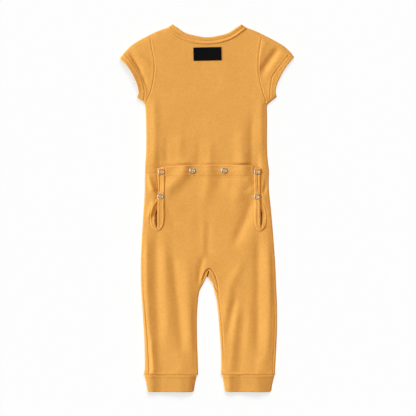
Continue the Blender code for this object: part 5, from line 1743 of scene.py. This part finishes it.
def knit_group():
    """Soft interlock knit: wales of loops, a mottled yarn with painted shade in the pits between
    the loops, and a fine nap.
    """
    tree, source, target = new_group("interlock_knit", (
        ("Vector", "NodeSocketVector", None),
        ("Dark", "NodeSocketColor", YARN_DARK), ("Middle", "NodeSocketColor", YARN),
        ("Light", "NodeSocketColor", YARN_LIGHT)))
    vector = source.outputs["Vector"]
    apart = add_node(tree, "SeparateXYZ", {0: vector})
    grain = {name: stretched_noise(tree, vector, *row[:3]) for name, row in KNIT_NOISE.items()}
    shift = {name: centred(tree, grain[name], row[3]) for name, row in KNIT_NOISE.items()}
    across = calc(tree, "ADD", apart.outputs["X"], shift["drift"])
    wale = calc(tree, "MULTIPLY", across, math.pi / WALE)
    rib = calc(tree, "ABSOLUTE", calc(tree, "SINE", wale))
    bend = calc(tree, "MULTIPLY", calc(tree, "ABSOLUTE", calc(tree, "COSINE", wale)), LOOP_BEND)
    course = calc(tree, "MULTIPLY", apart.outputs["Y"], math.tau / COURSE)
    loop = calc(tree, "SINE", calc(tree, "ADD", course, bend))
    height = calc(tree, "MULTIPLY", rib, calc(tree, "MULTIPLY_ADD", loop, *LOOP_RELIEF))
    height = calc(tree, "ADD", height, shift["fuzz"])

    # Painted shade: the colour darkens in the pits between the loops, on top of the yarn's random
    # mottling
    level, gain = KNIT_PIT_SHADE
    pit_shade = calc(tree, "MULTIPLY", calc(tree, "SUBTRACT", height, level), gain)
    tone = calc(tree, "ADD", calc(tree, "ADD", shift["tone"], shift["cloud"]),
                calc(tree, "ADD", shift["blot"], pit_shade))
    tone = calc(tree, "ADD", tone, 0.5, clamp=True)
    colour = three_colours(tree, tone, source.outputs["Dark"], source.outputs["Middle"],
                           source.outputs["Light"])
    rough = calc(tree, "MULTIPLY_ADD", grain["fuzz"], *KNIT_ROUGHNESS)
    feed(tree, target, {"Color": colour, "Roughness": rough, "Height": height})
    return tree


def woven_group():
    """Close plain weave: over-and-under threads with a faint unevenness."""
    tree, source, target = new_group("plain_weave", (
        ("Vector", "NodeSocketVector", None), ("Pitch", "NodeSocketFloat", WEAVE_PITCH),
        ("Dark", "NodeSocketColor", (0.0, 0.0, 0.0, 1.0)),
        ("Light", "NodeSocketColor", (1.0, 1.0, 1.0, 1.0))))
    vector = source.outputs["Vector"]
    apart = add_node(tree, "SeparateXYZ", {0: vector})
    threads = []
    for axis in ("X", "Y"):
        turn = calc(tree, "DIVIDE", calc(tree, "MULTIPLY", apart.outputs[axis], math.pi),
                    source.outputs["Pitch"])
        threads.append(calc(tree, "SINE", turn))
    height = calc(tree, "MULTIPLY_ADD", calc(tree, "MULTIPLY", *threads), 0.5, 0.5)
    grain = stretched_noise(tree, vector, *WEAVE_NOISE[:3])
    height = calc(tree, "ADD", height, centred(tree, grain, WEAVE_NOISE[3]))
    # Painted shade: the colour runs from Light on the raised threads to Dark in the low points
    # between them
    colour = blend(tree, calc(tree, "ADD", height, 0.0, clamp=True), source.outputs["Dark"],
                   source.outputs["Light"])
    rough = calc(tree, "MULTIPLY_ADD", grain, *WEAVE_ROUGHNESS)
    feed(tree, target, {"Color": colour, "Roughness": rough, "Height": height})
    return tree


def new_material(name):
    """Material with its node tree, its shader and the object's coordinates."""
    material = bpy.data.materials.new(name)
    material.use_nodes = True
    tree = material.node_tree
    place = tree.nodes.new("ShaderNodeTexCoord")
    return material, tree, tree.nodes["Principled BSDF"], place.outputs["Object"]


def cloth_material(name, group, turn=0.0, depth=KNIT_DEPTH, gloss=GLOSS, **settings):
    """Material of one cloth, its grain turned by turn degrees."""
    material, tree, shader, place = new_material(name)
    mapping = add_node(tree, "Mapping", {
        "Vector": place, "Rotation": (0.0, 0.0, math.radians(turn))})
    effect = add_node(tree, "Group", {"Vector": mapping.outputs["Vector"], **settings},
                      node_tree=group)
    bump = add_node(tree, "Bump", {"Height": effect.outputs["Height"],
                                   "Strength": BUMP_STRENGTH, "Distance": depth * MM})
    feed(tree, shader, {
        "Base Color": effect.outputs["Color"], "Roughness": effect.outputs["Roughness"],
        "Normal": bump.outputs["Normal"], "Specular IOR Level": gloss[0],
        "Sheen Weight": gloss[1], "Sheen Roughness": SHEEN_ROUGHNESS,
        "Sheen Tint": SHEEN_TINT})
    return material


def paint_crease_shade(material):
    """Paint shade into the cloth's colour by the crease attribute of its piece, darkest where the
    crease is deepest.
    """
    tree = material.node_tree
    shader = tree.nodes["Principled BSDF"]
    colour = shader.inputs["Base Color"].links[0].from_socket
    mask = add_node(tree, "Attribute", {}, attribute_name=CREASE_NAME)
    shade = blend(tree, mask.outputs["Fac"], colour, CREASE_PAINTED_SHADE)
    feed(tree, shader, {"Base Color": shade})


def plain_material(name, grain, roughness, looks):
    """Material of one colour whose roughness varies with a fine grain."""
    material, tree, shader, place = new_material(name)
    size, detail = grain
    fine = stretched_noise(tree, place, (size, size, size), detail)
    rough = calc(tree, "MULTIPLY_ADD", fine, *roughness)
    feed(tree, shader, {"Roughness": rough, **looks})
    return material


# --------------------------------------------------------------- light and camera

def add_light(name, floor):
    """Broad even light from the table, which takes in or spares the floor."""
    turn, rise, spread, power, tint, link = LAMPS[name]
    lamp = bpy.data.lights.new(name, "SUN")
    lamp.angle = math.radians(spread)
    lamp.energy = power
    lamp.color = tint
    holder = add_object(name, lamp)
    turn = math.radians(turn)
    rise = math.radians(rise)
    way = Vector((math.cos(turn) * math.cos(rise), math.sin(turn) * math.cos(rise),
                  math.sin(rise)))
    holder.location = way * LAMP_DISTANCE
    holder.rotation_euler = way.to_track_quat("Z", "Y").to_euler()
    lit = bpy.data.collections.new(f"{name}_light")
    lit.objects.link(floor)
    lit.collection_objects[0].light_linking.link_state = link
    holder.light_linking.receiver_collection = lit


def add_studio():
    """Floor, lamps, world and the camera straight above."""
    body = bmesh.new()
    bmesh.ops.create_grid(body, x_segments=1, y_segments=1, size=FLOOR_SIZE)
    mesh = bpy.data.meshes.new("floor")
    body.to_mesh(mesh)
    body.free()
    mesh.materials.append(plain_material("floor_paper", PAPER_GRAIN, PAPER_ROUGHNESS, PAPER))
    floor = add_object("floor", mesh)
    floor.location.z = -FLOOR_DROP * MM
    for name in LAMPS:
        add_light(name, floor)
    world = bpy.data.worlds.new("studio")
    world.use_nodes = True
    sky = world.node_tree.nodes["Background"]
    sky.inputs["Color"].default_value = WORLD_TINT
    sky.inputs["Strength"].default_value = WORLD_LIGHT
    bpy.context.scene.world = world
    lens = bpy.data.cameras.new("camera")
    lens.sensor_width = SENSOR
    lens.lens = SENSOR * CAMERA_HEIGHT / FIELD
    lens.clip_end = VIEW_END
    camera = add_object("camera", lens)
    camera.location = (CAMERA_X, CAMERA_Y, CAMERA_HEIGHT)
    bpy.context.scene.camera = camera


# ---------------------------------------------------------------------- the garment

def binding_stitches(side):
    """Plan lines of the stitches along both edges of a binding, as far as they show."""
    lines = []
    for inset in BINDING_SEWN:
        line = []
        for row, hidden in binding_line():
            if hidden and mix(row[:2], row[2:], inset)[0] > BINDING_COVER:
                break
            line.append(binding_point(side, row, inset))
        lines.append(line)
    return lines


def patch_stitches():
    """Plan line of the stitches round the patch."""
    width = PATCH_SIZE[0] / 2 - PATCH_SEWN
    depth = PATCH_SIZE[1] / 2 - PATCH_SEWN
    corners = ((-width, -depth), (width, -depth), (width, depth), (-width, depth),
               (-width, -depth))
    return [[patch_point(u, v) for u, v in corners]]


for item in list(bpy.data.objects):
    bpy.data.objects.remove(item)
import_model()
TURNS = plan_walls(turned_edges())

knit = knit_group()
weave = woven_group()
knit_cloth = cloth_material("knit_cloth", knit)
# the front's knit has painted shade in the crotch crease
front_cloth = cloth_material("front_knit", knit)
paint_crease_shade(front_cloth)
sleeve_cloth = {side: cloth_material(f"sleeve_knit_{side}", knit, SLEEVE_GRAIN * INWARD[side])
                for side in BOTH}
band_cloth = cloth_material("band_knit", knit, BAND_GRAIN)
rib_yarn = {name: (*(value * RIB_SHADE for value in yarn[:3]), 1.0)
            for name, yarn in (("Dark", YARN_DARK), ("Middle", YARN), ("Light", YARN_LIGHT))}
cuff_cloth = cloth_material("cuff_knit", knit, **rib_yarn)
binding_cloth = cloth_material("binding_knit", knit)
patch_cloth = cloth_material("patch_weave", weave, PATCH_TURN, PATCH_DEPTH, PATCH_GLOSS,
                             **PATCH_YARN)
thread, painted_shade_thread = (
    cloth_material(name, weave, THREAD_TWIST, THREAD_DEPTH, Pitch=THREAD_PITCH, **yarn)
    for name, yarn in THREADS.items())
metal = plain_material("snap_metal", METAL_GRAIN, METAL_ROUGHNESS, METAL)

front = make_front(front_cloth)
declare(front, "front")
bodice, bodice_face = make_back_bodice(knit_cloth)
declare(bodice, "back_bodice")
seat, seat_face = make_seat_panel(knit_cloth)
declare(seat, "seat_panel")
for side in BOTH:
    declare(make_sleeve(side, sleeve_cloth[side]), f"sleeve_{side}")
    declare(make_sleeve_band(side, sleeve_cloth[side]), f"sleeve_band_{side}")
    declare(make_cuff(side, cuff_cloth), f"cuff_{side}")
neckband = make_neckband(band_cloth)
declare(neckband, "neckband")
bindings = {side: make_placket(side, seat_face, binding_cloth) for side in BOTH}
for side, binding in bindings.items():
    declare(binding, f"placket_{side}")
flap_band = make_flap_band(seat_face, knit_cloth)
declare(flap_band, "flap_band")
patch = make_patch(bodice_face, patch_cloth)
declare(patch, "label_patch")

over_seat = [piece_tree(piece) for piece in (*bindings.values(), flap_band, seat)]
for number, (x, y, on_binding) in enumerate(SNAPS, start=1):
    base = max(top_height(tree, x, y) for tree in over_seat)
    make_snap(number, x, y, base, metal)
    make_snap_cloth(number, x, y, base, binding_cloth if on_binding else knit_cloth)

even = evenly(0.0, 1.0, STITCH_LINE_PARTS)
curves = neck_curves()
neck_pairs = list(zip(read_line(curves["edge"], even), read_line(curves["outer"], even)))
sew("neck_stitches", [[mix(edge, outer, share) for edge, outer in neck_pairs]
                      for share in NECK_STITCH_SHARES],
    [piece_tree(neckband), piece_tree(bodice)], thread)
# The flap's rows use thread with painted shade, darker than the cloth, for the shadow along the
# band's seam
sew("flap_stitches", [[(x, FLAP_BAND_Y + rise) for x in evenly(*FLAP_STITCH_X, STITCH_LINE_PARTS)]
                      for rise in FLAP_STITCH_RISES],
    [piece_tree(flap_band), over_seat[-1]], painted_shade_thread)
for side in BOTH:
    sew(f"binding_stitches_{side}", binding_stitches(side), [piece_tree(bindings[side])],
        thread)
sew("patch_stitches", patch_stitches(), [piece_tree(patch)], patch_cloth)

add_studio()
bpy.context.scene.view_settings.view_transform = "Standard"
